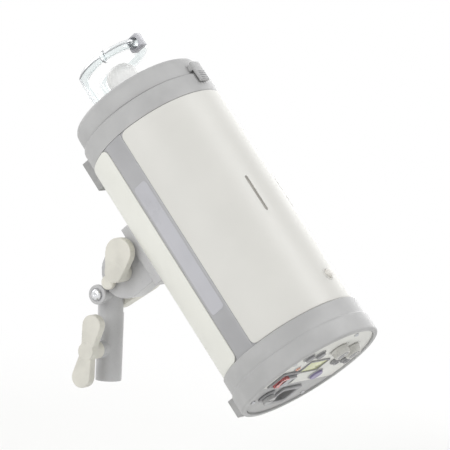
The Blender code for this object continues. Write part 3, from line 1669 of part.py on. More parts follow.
def build_boards(barrel):
    block(
        "main_board",
        (BOARD_WIDTH, BOARD_THICKNESS, BOARD_FRONT - BOARD_REAR),
        barrel,
        (0, BOARD_LEVEL + BOARD_THICKNESS / 2, between(BOARD_FRONT, BOARD_REAR)),
        finish="board_green",
    )
    low = CHASSIS_TOP + GAP
    high = BOARD_LEVEL - GAP
    block(
        "transformer",
        (TRANSFORMER_WIDTH, high - low, TRANSFORMER_LENGTH),
        barrel,
        (0, between(low, high), TRANSFORMER_REAR + TRANSFORMER_LENGTH / 2),
        finish="copper",
        bevel=0.0015,
    )
    seat = BOARD_LEVEL + BOARD_THICKNESS + GAP
    across, forward = SINK_PLACE
    sink = block(
        "heat_sink",
        (SINK_WIDTH, SINK_HEIGHT, SINK_LENGTH),
        barrel,
        (across, seat + SINK_HEIGHT / 2, forward),
        finish="aluminium",
    )
    pitch = SINK_WIDTH / (SINK_SLOTS + 1)
    for i in range(SINK_SLOTS):
        cut(
            sink,
            block(
                f"sink_slot_{i + 1}",
                (SINK_SLOT_WIDTH, SINK_HEIGHT, 2 * SINK_LENGTH),
                barrel,
                (across - SINK_WIDTH / 2 + pitch * (i + 1), seat + SINK_BASE + SINK_HEIGHT / 2, forward),
            ),
        )
    across, forward = COIL_PLACE
    rim = 0.12 * COIL_HEIGHT
    turned(
        "trigger_coil",
        [
            (0, COIL_HEIGHT),
            (COIL_RADIUS, COIL_HEIGHT),
            (COIL_RADIUS, COIL_HEIGHT - rim),
            (0.8 * COIL_RADIUS, COIL_HEIGHT - rim),
            (0.8 * COIL_RADIUS, rim),
            (COIL_RADIUS, rim),
            (COIL_RADIUS, 0),
            (0, 0),
        ],
        barrel,
        (across, seat, forward),
        (-math.pi / 2, 0, 0),
        "copper",
        KNOB_STEPS,
    )


def build_stand_bracket():
    build_stand_socket()
    build_cheek()
    build_cross_bolt()
    build_tilt_bolt()
    build_stand_clamp()


def build_head():
    pivot = empty("head_pivot", None, (0, -TILT_BACK, TILT_HEIGHT), (TILT_REST, 0, 0))
    # The barrel's own axes are left, up and forward.
    barrel = empty("barrel_axis", pivot, (0, 0, AXIS_HEIGHT), (math.pi / 2, 0, math.pi))
    shoe = build_mount_shoe(pivot, barrel)
    build_tilt_lever(pivot)
    build_umbrella_screw(pivot)
    top, bottom = build_covers(barrel)
    chassis = build_chassis(barrel)
    build_shoe_bolts(barrel, shoe, bottom, chassis)
    build_slave_sensor(barrel)
    build_front_collar(barrel)
    build_lock_ring(barrel)
    build_feet(barrel)
    build_reflector(barrel)
    build_modelling_lamp(barrel)
    build_flash_tube(barrel)
    build_tube_clip(barrel)
    build_trigger_wire(barrel)
    build_rear_collar(barrel)
    control, connector = build_panels(barrel)
    build_display(barrel, control)
    build_dials(barrel, control)
    build_buttons(barrel, control)
    build_ready_lamp(barrel, control)
    build_rocker(barrel, control)
    build_jacks(barrel, control)
    build_mains_inlet(barrel, connector)
    build_fuse(barrel, connector)
    build_capacitors(barrel)
    build_boards(barrel)


build_stand_bracket()
build_head()
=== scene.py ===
from math import cos, inf, pi, radians, sin, sqrt

import bmesh
import bpy
from mathutils import Matrix, Vector


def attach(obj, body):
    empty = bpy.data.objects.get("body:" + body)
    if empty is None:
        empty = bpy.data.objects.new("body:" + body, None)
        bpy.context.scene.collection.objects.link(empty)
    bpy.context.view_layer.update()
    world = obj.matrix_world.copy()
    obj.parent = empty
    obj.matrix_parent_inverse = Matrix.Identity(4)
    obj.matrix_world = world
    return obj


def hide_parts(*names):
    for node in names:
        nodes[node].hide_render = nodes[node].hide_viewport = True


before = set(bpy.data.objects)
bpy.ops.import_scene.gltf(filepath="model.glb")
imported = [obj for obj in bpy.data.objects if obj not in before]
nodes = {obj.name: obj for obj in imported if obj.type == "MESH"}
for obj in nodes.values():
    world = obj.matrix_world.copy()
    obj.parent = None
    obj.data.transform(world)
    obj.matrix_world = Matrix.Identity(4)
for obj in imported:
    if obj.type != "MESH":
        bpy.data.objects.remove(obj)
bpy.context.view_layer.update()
scene = bpy.context.scene
print("frame loaded with", len(nodes), "nodes")

# The barrel's own axes are left, up and forward, as in the solids
tilt = {"rest": radians(50), "back": 0.023, "height": 0.095, "toBarrel": 0.087}
aimY, aimZ = cos(tilt["rest"]), sin(tilt["rest"])
barrel = Matrix((
    (-1, 0, 0, 0),
    (0, -aimZ, aimY, -tilt["back"] - tilt["toBarrel"] * aimZ),
    (0, aimY, aimZ, tilt["height"] + tilt["toBarrel"] * aimY),
    (0, 0, 0, 1),
))
panelFace = -0.1604  # the rear panel's outer face, along the barrel


def onBarrel(left=0.0, up=0.0, forward=0.0):
    return barrel @ Matrix.Translation((left, up, forward))


def onPanel(left, up, out=0.0):  # z points out of the panel, x to the strobe's right
    turned = Matrix(((-1, 0, 0, left), (0, 1, 0, up), (0, 0, -1, panelFace - out), (0, 0, 0, 1)))
    return barrel @ turned


def facing(side, x, y, z):  # z points out of the strobe's side, 1 for its right and -1 for its left
    return Matrix(((0, 0, side, x), (side, 0, 0, y), (0, 1, 0, z), (0, 0, 0, 1)))


def mm(*rows):  # outlines are written in millimetres
    return [tuple(value / 1000 for value in row) for row in rows]


# Camera, where the photographer stood, with a longer lens on the strobe alone
camera = {
    "azimuth": radians(-53.8),
    "elevation": radians(7.64),
    "roll": radians(1.67),
    "distance": 2.275,
    "across": -0.1162,  # camera's own right
    "raised": 0.0349,  # camera's own up
    "aim": (0.0944, 0.0422),  # the strobe's middle, off the photograph's axis
    "lens": 216,
    "sensor": 36,
    "clip": (0.1, 200),
}


def addCamera(look):
    level = cos(look["elevation"])
    back = Vector((
        sin(look["azimuth"]) * level,
        -cos(look["azimuth"]) * level,
        sin(look["elevation"]),
    ))
    right = Vector((0, 0, 1)).cross(back).normalized()
    up = back.cross(right)
    turn = Matrix.Rotation(look["roll"], 3, back)
    right, up = turn @ right, turn @ up
    place = look["distance"] * back + look["across"] * right + look["raised"] * up
    ahead = (look["aim"][0] * right + look["aim"][1] * up - back).normalized()
    right = ahead.cross(up).normalized()
    up = right.cross(ahead)
    data = bpy.data.cameras.new("camera")
    data.lens = look["lens"]
    data.sensor_width = look["sensor"]
    data.clip_start, data.clip_end = look["clip"]
    made = bpy.data.objects.new("camera", data)
    scene.collection.objects.link(made)
    turned = Matrix((right, up, -ahead)).transposed().to_4x4()
    made.matrix_world = Matrix.Translation(place) @ turned
    scene.camera = made


addCamera(camera)
print("camera placed")


class Wire:  # one socket, so that shader sums read as plain Python
    def __init__(self, finish, socket):
        self.finish = finish
        self.socket = socket

    def sum(self, operation, first, second):
        return self.finish.node("ShaderNodeMath", {"operation": operation}, {0: first, 1: second})

    def __add__(self, other):
        return self.sum("ADD", self, other)

    def __radd__(self, other):
        return self.sum("ADD", other, self)

    def __sub__(self, other):
        return self.sum("SUBTRACT", self, other)

    def __rsub__(self, other):
        return self.sum("SUBTRACT", other, self)

    def __mul__(self, other):
        return self.sum("MULTIPLY", self, other)

    def __rmul__(self, other):
        return self.sum("MULTIPLY", other, self)


class Finish:  # one material, and the nodes that colour it
    def __init__(self, name, owner=None):
        self.material = owner or bpy.data.materials.new(name)
        self.material.use_nodes = True
        self.tree = self.material.node_tree
        self.shader = self.tree.nodes.get("Principled BSDF")
        self.place = self.node("ShaderNodeTexCoord", {}, {}, "Object")

    def node(self, kind, settings, sockets, output=0):
        made = self.tree.nodes.new(kind)
        for key, value in settings.items():
            setattr(made, key, value)
        for key, value in sockets.items():
            self.feed(made.inputs[key], value)
        return Wire(self, made.outputs[output])

    def feed(self, socket, value):
        if isinstance(value, Wire):
            self.tree.links.new(value.socket, socket)
        else:
            socket.default_value = value

    def surface(self, sockets):
        for key, value in sockets.items():
            self.feed(self.shader.inputs[key], value)
        return self.material

    def alongBarrel(self):  # the place on the barrel's own axes
        return self.node(
            "ShaderNodeMapping",
            {"vector_type": "TEXTURE"},
            {"Vector": self.place, "Location": barrel.to_translation(), "Rotation": barrel.to_euler()},
        )

    def noise(self, scale, detail=2.0, way=None, rough=0.5):  # way stretches the place, for grain that runs
        place = self.place
        if way:
            place = self.node("ShaderNodeVectorMath", {"operation": "MULTIPLY"}, {0: place, 1: way})
        return self.node(
            "ShaderNodeTexNoise",
            {},
            {"Vector": place, "Scale": scale, "Detail": detail, "Roughness": rough},
        )

    def cells(self, scale):
        return self.node("ShaderNodeTexVoronoi", {}, {"Vector": self.place, "Scale": scale}, "Distance")

    def step(self, value, low, high):  # 0 below low, 1 above high
        return self.node(
            "ShaderNodeMapRange",
            {"interpolation_type": "SMOOTHSTEP"},
            {"Value": value, "From Min": low, "From Max": high},
        )

    def blend(self, share, first, second):
        return self.node("ShaderNodeMix", {"data_type": "RGBA"}, {0: share, 6: first, 7: second}, 2)

    def patches(self, scale, detail, low, high, way=None):  # noise cut to soft patches
        return self.step(self.noise(scale, detail, way), low, high)

    def shades(self, share, colour, low, high):  # one colour between two strengths of itself
        return self.blend(share, tint(*colour, low), tint(*colour, high))

    def edges(self, width):  # 1 along outer edges, where hands rub; width in millimetres
        soft = self.node("ShaderNodeBevel", {"samples": 4}, {"Radius": width / 1000})
        own = self.node("ShaderNodeNewGeometry", {}, {}, "Normal")
        along = self.node("ShaderNodeVectorMath", {"operation": "DOT_PRODUCT"}, {0: soft, 1: own}, "Value")
        return self.step(along, 0.985, 0.8)

    def relief(self, height, depth, strength):  # depth in micrometres
        sockets = {"Height": height, "Distance": depth / 1e6, "Strength": strength}
        return self.node("ShaderNodeBump", {}, sockets)


def tint(red, green, blue, share=1.0):  # screen colours 0 to 255 to the shader's own
    made = []
    for value in (red, green, blue):
        value = min(1.0, value * share / 255)
        made.append(value / 12.92 if value <= 0.04045 else ((value + 0.055) / 1.055) ** 2.4)
    return (*made, 1.0)


def moulded(name, look):  # spark eroded plastic, a little uneven, rubbed along its edges
    made = Finish(name)
    cloud = made.noise(look["cloud"], 3)
    grain = made.noise(look["grain"], 3, rough=0.6)
    pores = made.cells(look["grain"] * 0.7)
    rubbed = made.patches(90, 4, 0.56, 0.74, (1, 0.35, 0.35))
    worn = made.edges(look["edge"]) * made.patches(260, 3, 0.35, 0.65) * look["wear"]
    colour = made.shades(made.step(cloud, 0.3, 0.7), look["colour"], 1 - look["spread"], 1 + look["spread"])
    colour = made.blend(grain * look["speck"], colour, tint(*look["worn"]))
    colour = made.blend(worn, colour, tint(*look["worn"]))
    shine = look["rough"] + (cloud - 0.5) * 0.16 + (grain - 0.5) * 0.10 - rubbed * 0.07 - worn * 0.10
    return made.surface({
        "Base Color": colour,
        "Roughness": shine,
        "Normal": made.relief(grain * 0.6 + pores * 0.4, look["depth"], 0.6),
        "IOR": 1.5,
        "Specular IOR Level": look["gloss"],
    })


def powderCoat(name, look):  # grey coat on a casting, chipped to bare metal at its edges
    made = Finish(name)
    peel = made.noise(look["peel"], 3)
    fine = made.noise(look["peel"] * 3.2, 2)
    chip = made.edges(look["edge"]) * made.patches(340, 4, 0.52, 0.66)
    colour = made.shades(made.patches(30, 3, 0.25, 0.75), look["colour"], 0.97, 1.04)
    return made.surface({
        "Base Color": made.blend(chip, colour, tint(*look["bare"])),
        "Metallic": chip * 0.9,
        "Roughness": look["rough"] + (peel - 0.5) * 0.2 - chip * 0.12,
        "Normal": made.relief(peel * 0.7 + fine * 0.3, look["depth"], 0.7),
        "Specular IOR Level": look["gloss"],
    })


def bareMetal(name, look):  # drawn or turned metal with fine lines and a few marks
    made = Finish(name)
    lines = made.noise(look["lines"], 4, look["way"], 0.65)
    marks = made.patches(700, 2, 0.68, 0.74, (1, 0.12, 0.3))
    dull = made.patches(45, 4, 0.35, 0.75)
    return made.surface({
        "Base Color": made.shades(dull * 0.6 + lines * 0.3, look["colour"], 1.06, 0.86),
        "Metallic": 1.0,
        "Roughness": look["rough"] + (lines - 0.5) * look["lineRough"] + dull * 0.08 + marks * 0.12,
        "Normal": made.relief(lines - marks * 0.4, look["depth"], 0.5),
    })


def smearedGlass(name, look):  # clear or milky
    made = Finish(name)
    smear = made.patches(60, 3, 0.45, 0.8)
    return made.surface({
        "Base Color": made.blend(smear * look["haze"], tint(*look["colour"]), tint(236, 238, 238)),
        "Roughness": look["rough"] + smear * 0.05,
        "Transmission Weight": look["through"],
        "IOR": 1.46,
    })


def dyedLens(name, look):  # clear coloured plastic over a ribbed back
    made = Finish(name)
    ribs = made.cells(look["ribs"])
    return made.surface({
        "Base Color": made.shades(made.step(ribs, 0.1, 0.7), look["colour"], 1.15, 0.8),
        "Roughness": look["rough"] + (made.noise(120, 3) - 0.5) * 0.12,
        "Subsurface Weight": look["milk"],
        "Subsurface Radius": (0.002, 0.001, 0.001),
        "Coat Weight": 0.4,
        "Coat Roughness": 0.08,
        "Normal": made.relief(ribs, 60, 0.4),
    })


def crystalDisplay(name, look):  # fine dots behind a glossy window
    made = Finish(name)
    place = made.alongBarrel()
    ways = []
    for axis in ("X", "Y"):
        way = made.node("ShaderNodeSeparateXYZ", {}, {"Vector": place}, axis)
        wave = made.node("ShaderNodeMath", {"operation": "SINE"}, {0: way * (2 * pi / look["pitch"])})
        ways.append(made.step(wave, 0.55, 0.95))
    lines = made.node("ShaderNodeMath", {"operation": "MAXIMUM"}, dict(enumerate(ways)))
    glow = made.patches(55, 2, 0.25, 0.75)
    colour = made.shades(glow, look["colour"], 0.93, 1.05)
    return made.surface({
        "Base Color": made.blend(lines * 0.22, colour, tint(*look["gap"])),
        "Roughness": 0.3 + glow * 0.06,
        "Coat Weight": 0.9,
        "Coat Roughness": 0.05,
    })


def circuitBoard(name, look):  # lacquered, with tracks
    made = Finish(name)
    tracks = made.step(made.cells(look["tracks"]), 0.42, 0.5)
    return made.surface({
        "Base Color": made.blend(tracks * 0.5, tint(*look["colour"]), tint(*look["track"])),
        "Roughness": 0.4 + made.noise(200, 3) * 0.12,
        "Coat Weight": 0.3,
        "Normal": made.relief(tracks, 50, 0.5),
    })


# Finishes in families, one row each under the names of its columns
families = [
    (moulded, "colour worn spread speck wear rough gloss cloud grain depth edge", {
        "collarGrey": ((176, 176, 176), (196, 195, 192), 0.035, 0.1, 0.55, 0.47, 0.45, 28, 2100, 90, 0.7),
        "shellGrey": ((215, 214, 209), (229, 227, 222), 0.012, 0.05, 0.35, 0.43, 0.42, 14, 2600, 40, 0.6),
        # painted light: the shell's own grey, painted lighter for the lower cover where the lamps light its
        # lower side
        "lowerCream": ((227, 227, 220), (239, 238, 232), 0.012, 0.05, 0.35, 0.43, 0.42, 14, 2600, 40, 0.6),
        "bandGrey": ((168, 168, 170), (184, 184, 184), 0.03, 0.06, 0.4, 0.36, 0.5, 22, 2400, 50, 0.5),
        "labelSatin": ((184, 184, 189), (198, 198, 201), 0.025, 0.05, 0.3, 0.3, 0.55, 20, 3200, 30, 0.4),
        "knobPutty": ((212, 210, 201), (222, 219, 210), 0.03, 0.1, 0.5, 0.46, 0.45, 50, 1900, 80, 0.7),
        # painted light: the dial and panel greys are raised to offset the low light on the down-facing rear
        # panel
        "dialGrey": ((203, 202, 197), (220, 219, 215), 0.03, 0.08, 0.45, 0.42, 0.45, 70, 2400, 60, 0.5),
        "panelGrey": ((222, 222, 217), (232, 232, 229), 0.02, 0.07, 0.3, 0.44, 0.45, 30, 2600, 50, 0.5),
        "controlDark": ((146, 146, 148), (168, 167, 164), 0.05, 0.08, 0.5, 0.42, 0.5, 70, 2600, 60, 0.4),
        "footRubber": ((160, 160, 160), (182, 180, 176), 0.06, 0.16, 0.6, 0.78, 0.25, 60, 1300, 160, 0.9),
        # painted light: the fibre's own dark colour painted far lighter, lifting the shade in the groove
        # under the lock ring
        "washerFibre": ((166, 163, 158), (184, 180, 172), 0.05, 0.2, 0.3, 0.8, 0.2, 80, 1500, 100, 0.4),
        "buttonViolet": ((146, 138, 170), (178, 170, 196), 0.05, 0.06, 0.4, 0.38, 0.5, 90, 2600, 40, 0.4),
        "socketCeramic": ((226, 222, 210), (238, 236, 228), 0.03, 0.08, 0.3, 0.32, 0.55, 60, 1400, 60, 0.5),
        "canSleeve": ((52, 66, 98), (90, 100, 126), 0.06, 0.05, 0.3, 0.32, 0.5, 40, 1800, 40, 0.5),
        "markWhite": ((228, 228, 222), (205, 205, 200), 0.02, 0.05, 0.3, 0.5, 0.4, 90, 3000, 20, 0.2),
    }),
    (bareMetal, "colour rough lines way lineRough depth", {
        "boltSteel": ((196, 197, 199), 0.28, 900, (4, 0.3, 0.3), 0.2, 40),
        "capChrome": ((232, 233, 235), 0.1, 500, (1, 1, 1), 0.06, 10),
        "dishAluminium": ((222, 223, 225), 0.27, 420, (1, 1, 1), 0.22, 60),
        "windingCopper": ((205, 142, 100), 0.3, 800, (0.3, 3, 3), 0.2, 80),
        "pinBrass": ((214, 196, 148), 0.24, 700, (1, 1, 1), 0.16, 30),
    }),
    (powderCoat, "colour bare rough gloss peel depth edge", {
        # painted light: the casting's grey is raised to offset the shade on the stand socket and shoe
        "castGrey": ((186, 186, 187), (214, 214, 216), 0.30, 0.55, 900, 60, 0.8),
    }),
    (smearedGlass, "colour haze rough through", {
        "tubeGlass": ((246, 249, 249), 0.2, 0.03, 1.0),
        "lampFrost": ((253, 253, 251), 0.5, 0.40, 0.10),
        "sensorPale": ((226, 223, 216), 0.4, 0.22, 0.08),
    }),
    (dyedLens, "colour ribs rough milk", {
        "rockerRed": ((216, 122, 122), 700, 0.28, 0.2),
        "readyAmber": ((234, 176, 152), 1200, 0.2, 0.3),
    }),
    (crystalDisplay, "colour gap pitch", {"displayGreen": ((198, 204, 134), (160, 168, 98), 0.0009)}),
    (circuitBoard, "colour track tracks", {"boardGreen": ((38, 96, 62), (70, 132, 84), 260)}),
]
finishes = {}
for make, columns, rows in families:
    for finishName, row in rows.items():
        finishes[finishName] = make(finishName, dict(zip(columns.split(), row)))
print("finishes made:", len(finishes))


# Floor, light and background
studio = {
    "floorLevel": -0.105,  # below the rear end when the head points straight up
    "floorRadius": 60.0,
    "floorColour": (244, 244, 243),
    "nearFloor": 0.35,  # inside it the floor is lit and keeps the shadow
    "farFloor": 1.1,  # outside it the floor is the plain white background
    "worldLevel": 0.50,
    "middle": (0, -0.08, 0.14),  # where the lamps point
}
lamps = {
    "keyLamp": {"place": (0.55, -1.55, 1.75), "size": 1.1, "power": 20},
    "fillLamp": {"place": (-1.9, 0.25, 0.95), "size": 1.6, "power": 17},
    "frontLamp": {"place": (0.5, 1.9, 1.25), "size": 1.4, "power": 11},
    "rightLamp": {"place": (1.9, 0.1, 0.7), "size": 1.5, "power": 11},
}


def seenDirectly(made):  # 1 for what the camera, a mirror or glass sees
    path = made.node("ShaderNodeLightPath", {}, {}, "Is Camera Ray")
    outputs = path.socket.node.outputs
    total = path + Wire(made, outputs["Is Glossy Ray"]) + Wire(made, outputs["Is Transmission Ray"])
    return made.node("ShaderNodeMath", {"operation": "MINIMUM"}, {0: total, 1: 1.0})


def addStudio(look):
    bm = bmesh.new()
    bmesh.ops.create_circle(bm, cap_ends=True, segments=96, radius=look["floorRadius"])
    bmesh.ops.translate(bm, vec=(0, 0, look["floorLevel"]), verts=bm.verts)
    mesh = bpy.data.meshes.new("studioFloor")
    bm.to_mesh(mesh)
    bm.free()
    floor = bpy.data.objects.new("studioFloor", mesh)
    scene.collection.objects.link(floor)
    made = Finish("floorPaper")
    far = made.node("ShaderNodeVectorMath", {"operation": "LENGTH"}, {0: made.place}, "Value")
    share = made.step(far, look["nearFloor"], look["farFloor"]) * seenDirectly(made)
    made.surface({
        "Base Color": made.shades(made.patches(3, 3, 0.3, 0.7) * 0.3, look["floorColour"], 1.0, 0.99),
        "Roughness": 0.9,
        "Specular IOR Level": 0.0,
    })
    white = made.node("ShaderNodeEmission", {}, {"Color": (1, 1, 1, 1), "Strength": 1.0})
    lit = Wire(made, made.shader.outputs[0])
    mixed = made.node("ShaderNodeMixShader", {}, {0: share, 1: lit, 2: white})
    made.feed(made.tree.nodes["Material Output"].inputs["Surface"], mixed)
    mesh.materials.append(made.material)
    scene.world = bpy.data.worlds.new("studioWorld")
    sky = Finish("studioWorld", scene.world)
    level = look["worldLevel"] + seenDirectly(sky) * (1 - look["worldLevel"])
    behind = sky.tree.nodes["Background"]
    behind.inputs["Color"].default_value = (1, 1, 1, 1)
    sky.feed(behind.inputs["Strength"], level)


def addLamp(name, look):
    data = bpy.data.lights.new(name, "AREA")
    data.shape = "DISK"
    data.size = look["size"]
    data.energy = look["power"]
    made = bpy.data.objects.new(name, data)
    scene.collection.objects.link(made)
    made.location = look["place"]
    made.rotation_mode = "QUATERNION"
    made.rotation_quaternion = (Vector(studio["middle"]) - Vector(look["place"])).to_track_quat("-Z", "Y")


addStudio(studio)
for lampName, lampLook in lamps.items():
    addLamp(lampName, lampLook)
scene.view_settings.view_transform = "Standard"
print("studio lit by", len(lamps), "lamps")


# Mesh tools
def softened(points, steps=4):  # a closed outline, rounded where a point has a third number
    made = []
    count = len(points)
    for i, point in enumerate(points):
        if len(point) == 2:
            made.append(point)
            continue
        before, here, after = (Vector(points[(i + k) % count][:2]) for k in (-1, 0, 1))
        back, ahead = before - here, after - here
        reach = min(point[2], 0.49 * back.length, 0.49 * ahead.length)
        if reach < 1e-6:
            made.append(tuple(here))
            continue
        first, last = here + back.normalized() * reach, here + ahead.normalized() * reach
        for k in range(steps + 1):
            t = k / steps
            made.append(tuple(first * (1 - t) ** 2 + here * (2 * t * (1 - t)) + last * t**2))
    return made


def turns(count):
    return [2 * pi * k / count for k in range(count)]


def spun(bm, matrix, reach, angle, height):  # a new point, at this angle about z
    return bm.verts.new(matrix @ Vector((reach * cos(angle), reach * sin(angle), height)))


def skin(bm, rings, ends):  # faces between rings in turn, with the ends capped, joined or left open
    pairs = list(zip(rings, rings[1:]))
    if ends == "joined":
        pairs.append((rings[-1], rings[0]))
    for first, second in pairs:
        count = max(len(first), len(second))
        for k in range(count):
            n = (k + 1) % count
            if len(first) == 1:
                bm.faces.new((first[0], second[k], second[n]))
            elif len(second) == 1:
                bm.faces.new((first[k], first[n], second[0]))
            else:
                bm.faces.new((first[k], first[n], second[n], second[k]))
    if ends == "capped":
        bm.faces.new(list(reversed(rings[0])))
        bm.faces.new(rings[-1])
    return bm


def lathe(bm, profile, steps, matrix, shape=None):  # turns (radius, height) points about z
    rings = []
    for number, (radius, height) in enumerate(profile):
        if radius < 1e-7:
            rings.append([bm.verts.new(matrix @ Vector((0, 0, height)))])
            continue
        ring = []
        for angle in turns(steps):
            reach = shape(number, angle, radius) if shape else radius
            ring.append(spun(bm, matrix, reach, angle, height))
        rings.append(ring)
    hollow = len(rings[0]) > 1 and len(rings[-1]) > 1
    return skin(bm, rings, "joined" if hollow else "open")


def pipe(bm, points, radius, sides, matrix, bore=0.0):  # a wire or tube along points, closed at both ends
    points = [Vector(p) for p in points]
    last = len(points) - 1
    outer, inner = [], []
    for i, point in enumerate(points):
        way = (points[min(i + 1, last)] - points[max(i - 1, 0)]).normalized()
        normal = (normal - way * normal.dot(way) if i else way.orthogonal()).normalized()
        side = way.cross(normal)
        offs = [normal * cos(angle) + side * sin(angle) for angle in turns(sides)]
        outer.append([bm.verts.new(matrix @ (point + off * radius)) for off in offs])
        if bore:
            inner.append([bm.verts.new(matrix @ (point + off * bore)) for off in offs])
    if not bore:
        return skin(bm, outer, "capped")
    for walls in (outer, inner, (outer[0], inner[0]), (outer[-1], inner[-1])):
        skin(bm, walls, "open")
    return bm


def stacked(bm, loops, matrix, ends="capped", steps=4):  # rounded rectangles (width, height, corner, level)
    rows = []
    for width, height, corner, level in loops:
        row = []
        for right, up, start in ((1, 1, 0), (-1, 1, 90), (-1, -1, 180), (1, -1, 270)):
            for k in range(steps + 1):
                angle = radians(start + 90 * k / steps)
                x = right * (width / 2 - corner) + corner * cos(angle)
                y = up * (height / 2 - corner) + corner * sin(angle)
                row.append(bm.verts.new(matrix @ Vector((x, y, level))))
        rows.append(row)
    return skin(bm, rows, ends)


def prism(bm, outline, half, edge, matrix):  # an outline carried along z, its end edges chamfered
    count = len(outline)
    rings = []
    for level, inset in ((-half, edge), (edge - half, 0.0), (half - edge, 0.0), (half, edge)):
        ring = []
        for k in range(count):
            before, here, after = (Vector(outline[(k + d) % count]) for d in (-1, 0, 1))
            along = (after - before).normalized()
            x, y = here.x - along.y * inset, here.y + along.x * inset
            ring.append(bm.verts.new(matrix @ Vector((x, y, level))))
        rings.append(ring)
    return skin(bm, rings, "capped")


def addPiece(name, bm, finish, *stoodFor, body="head", slot=None, sharp=32):
    bmesh.ops.recalc_face_normals(bm, faces=bm.faces)
    mesh = bpy.data.meshes.new(name)
    bm.to_mesh(mesh)
    bm.free()
    mesh.shade_smooth()
    mesh.set_sharp_from_angle(angle=radians(sharp))
    mesh.materials.append(finishes[finish])
    made = bpy.data.objects.new(name, mesh)
    scene.collection.objects.link(made)
    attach(made, body)
    if stoodFor:
        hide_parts(*stoodFor)


def addTurned(name, points, steps, matrix, finish, *stoodFor, shape=None, rounding=4, **more):
    bm = lathe(bmesh.new(), softened(points, rounding), steps, matrix, shape)
    addPiece(name, bm, finish, *stoodFor, **more)


def addBlocks(name, look, places, finish, body="head"):  # a block at each place, its edges rounded
    bm = bmesh.new()
    for place in places:
        before = set(bm.verts)
        made = bmesh.ops.create_cube(bm, size=1)
        bmesh.ops.scale(bm, vec=look["size"], verts=made["verts"])
        rims = list({e for v in made["verts"] for e in v.link_edges})
        rounds = {"offset": look["edge"], "segments": look["segments"], "profile": 0.5}
        bmesh.ops.bevel(bm, geom=rims, affect="EDGES", **rounds)
        bmesh.ops.transform(bm, matrix=place, verts=[v for v in bm.verts if v not in before])
    addPiece(name, bm, finish, body=body)


# Covers of the housing: rolled edges, rounded corners, slots with round ends
coverShape = {
    "radius": 0.0615, "wall": 0.0010, "rear": -0.130, "front": 0.077, "roll": 0.0008, "corner": 0.0062,
    "pitch": 0.0028, "slotWidth": 0.003, "slotDrop": 0.00025,
}
covers = {
    "upperCover": {
        **coverShape, "from": radians(2.14), "to": radians(177.86), "finish": "shellGrey",
        "node": "top_cover",
        "slots": [(radians(70), -0.040, -0.006), (radians(110), -0.040, -0.006)],
    },
    "lowerCover": {
        # the lower cover takes the shell's grey with painted light on it
        **coverShape, "from": radians(197.31), "to": radians(342.69), "finish": "lowerCream",
        "node": "bottom_cover",
        "slots": [],
    },
}
slotLightSheet = {  # painted light: a pale sheet against the cover's inside under its slots, lifting the shade that shows in them
    "radius": 0.06045, "wall": 0.0006, "margin": radians(4), "reach": 0.004, "roll": 0.0002,
    "corner": 0.002, "pitch": 0.003,
}
gridShares = {"roll": (0.12, 0.35, 0.65, 1.0), "corner": (0.3, 0.5, 0.7, 0.85, 1.0), "pastRoll": 1.3}


def fineLines(length, look, pitch, marks):  # grid lines, closer where the sheet bends
    roll, corner = look["roll"], look["corner"]
    made = {0.0, length, *marks}
    for end, way in ((0.0, 1), (length, -1)):
        for share in gridShares["roll"]:
            made.add(end + way * roll * share)
        for share in gridShares["corner"]:
            made.add(end + way * max(roll * gridShares["pastRoll"], corner * share))
    lines = sorted(made)
    filled = []
    for low, high in zip(lines, lines[1:]):
        if high - low < 1e-5:
            continue
        count = max(1, round((high - low) / pitch))
        filled += [low + (high - low) * k / count for k in range(count)]
    return filled + [length]


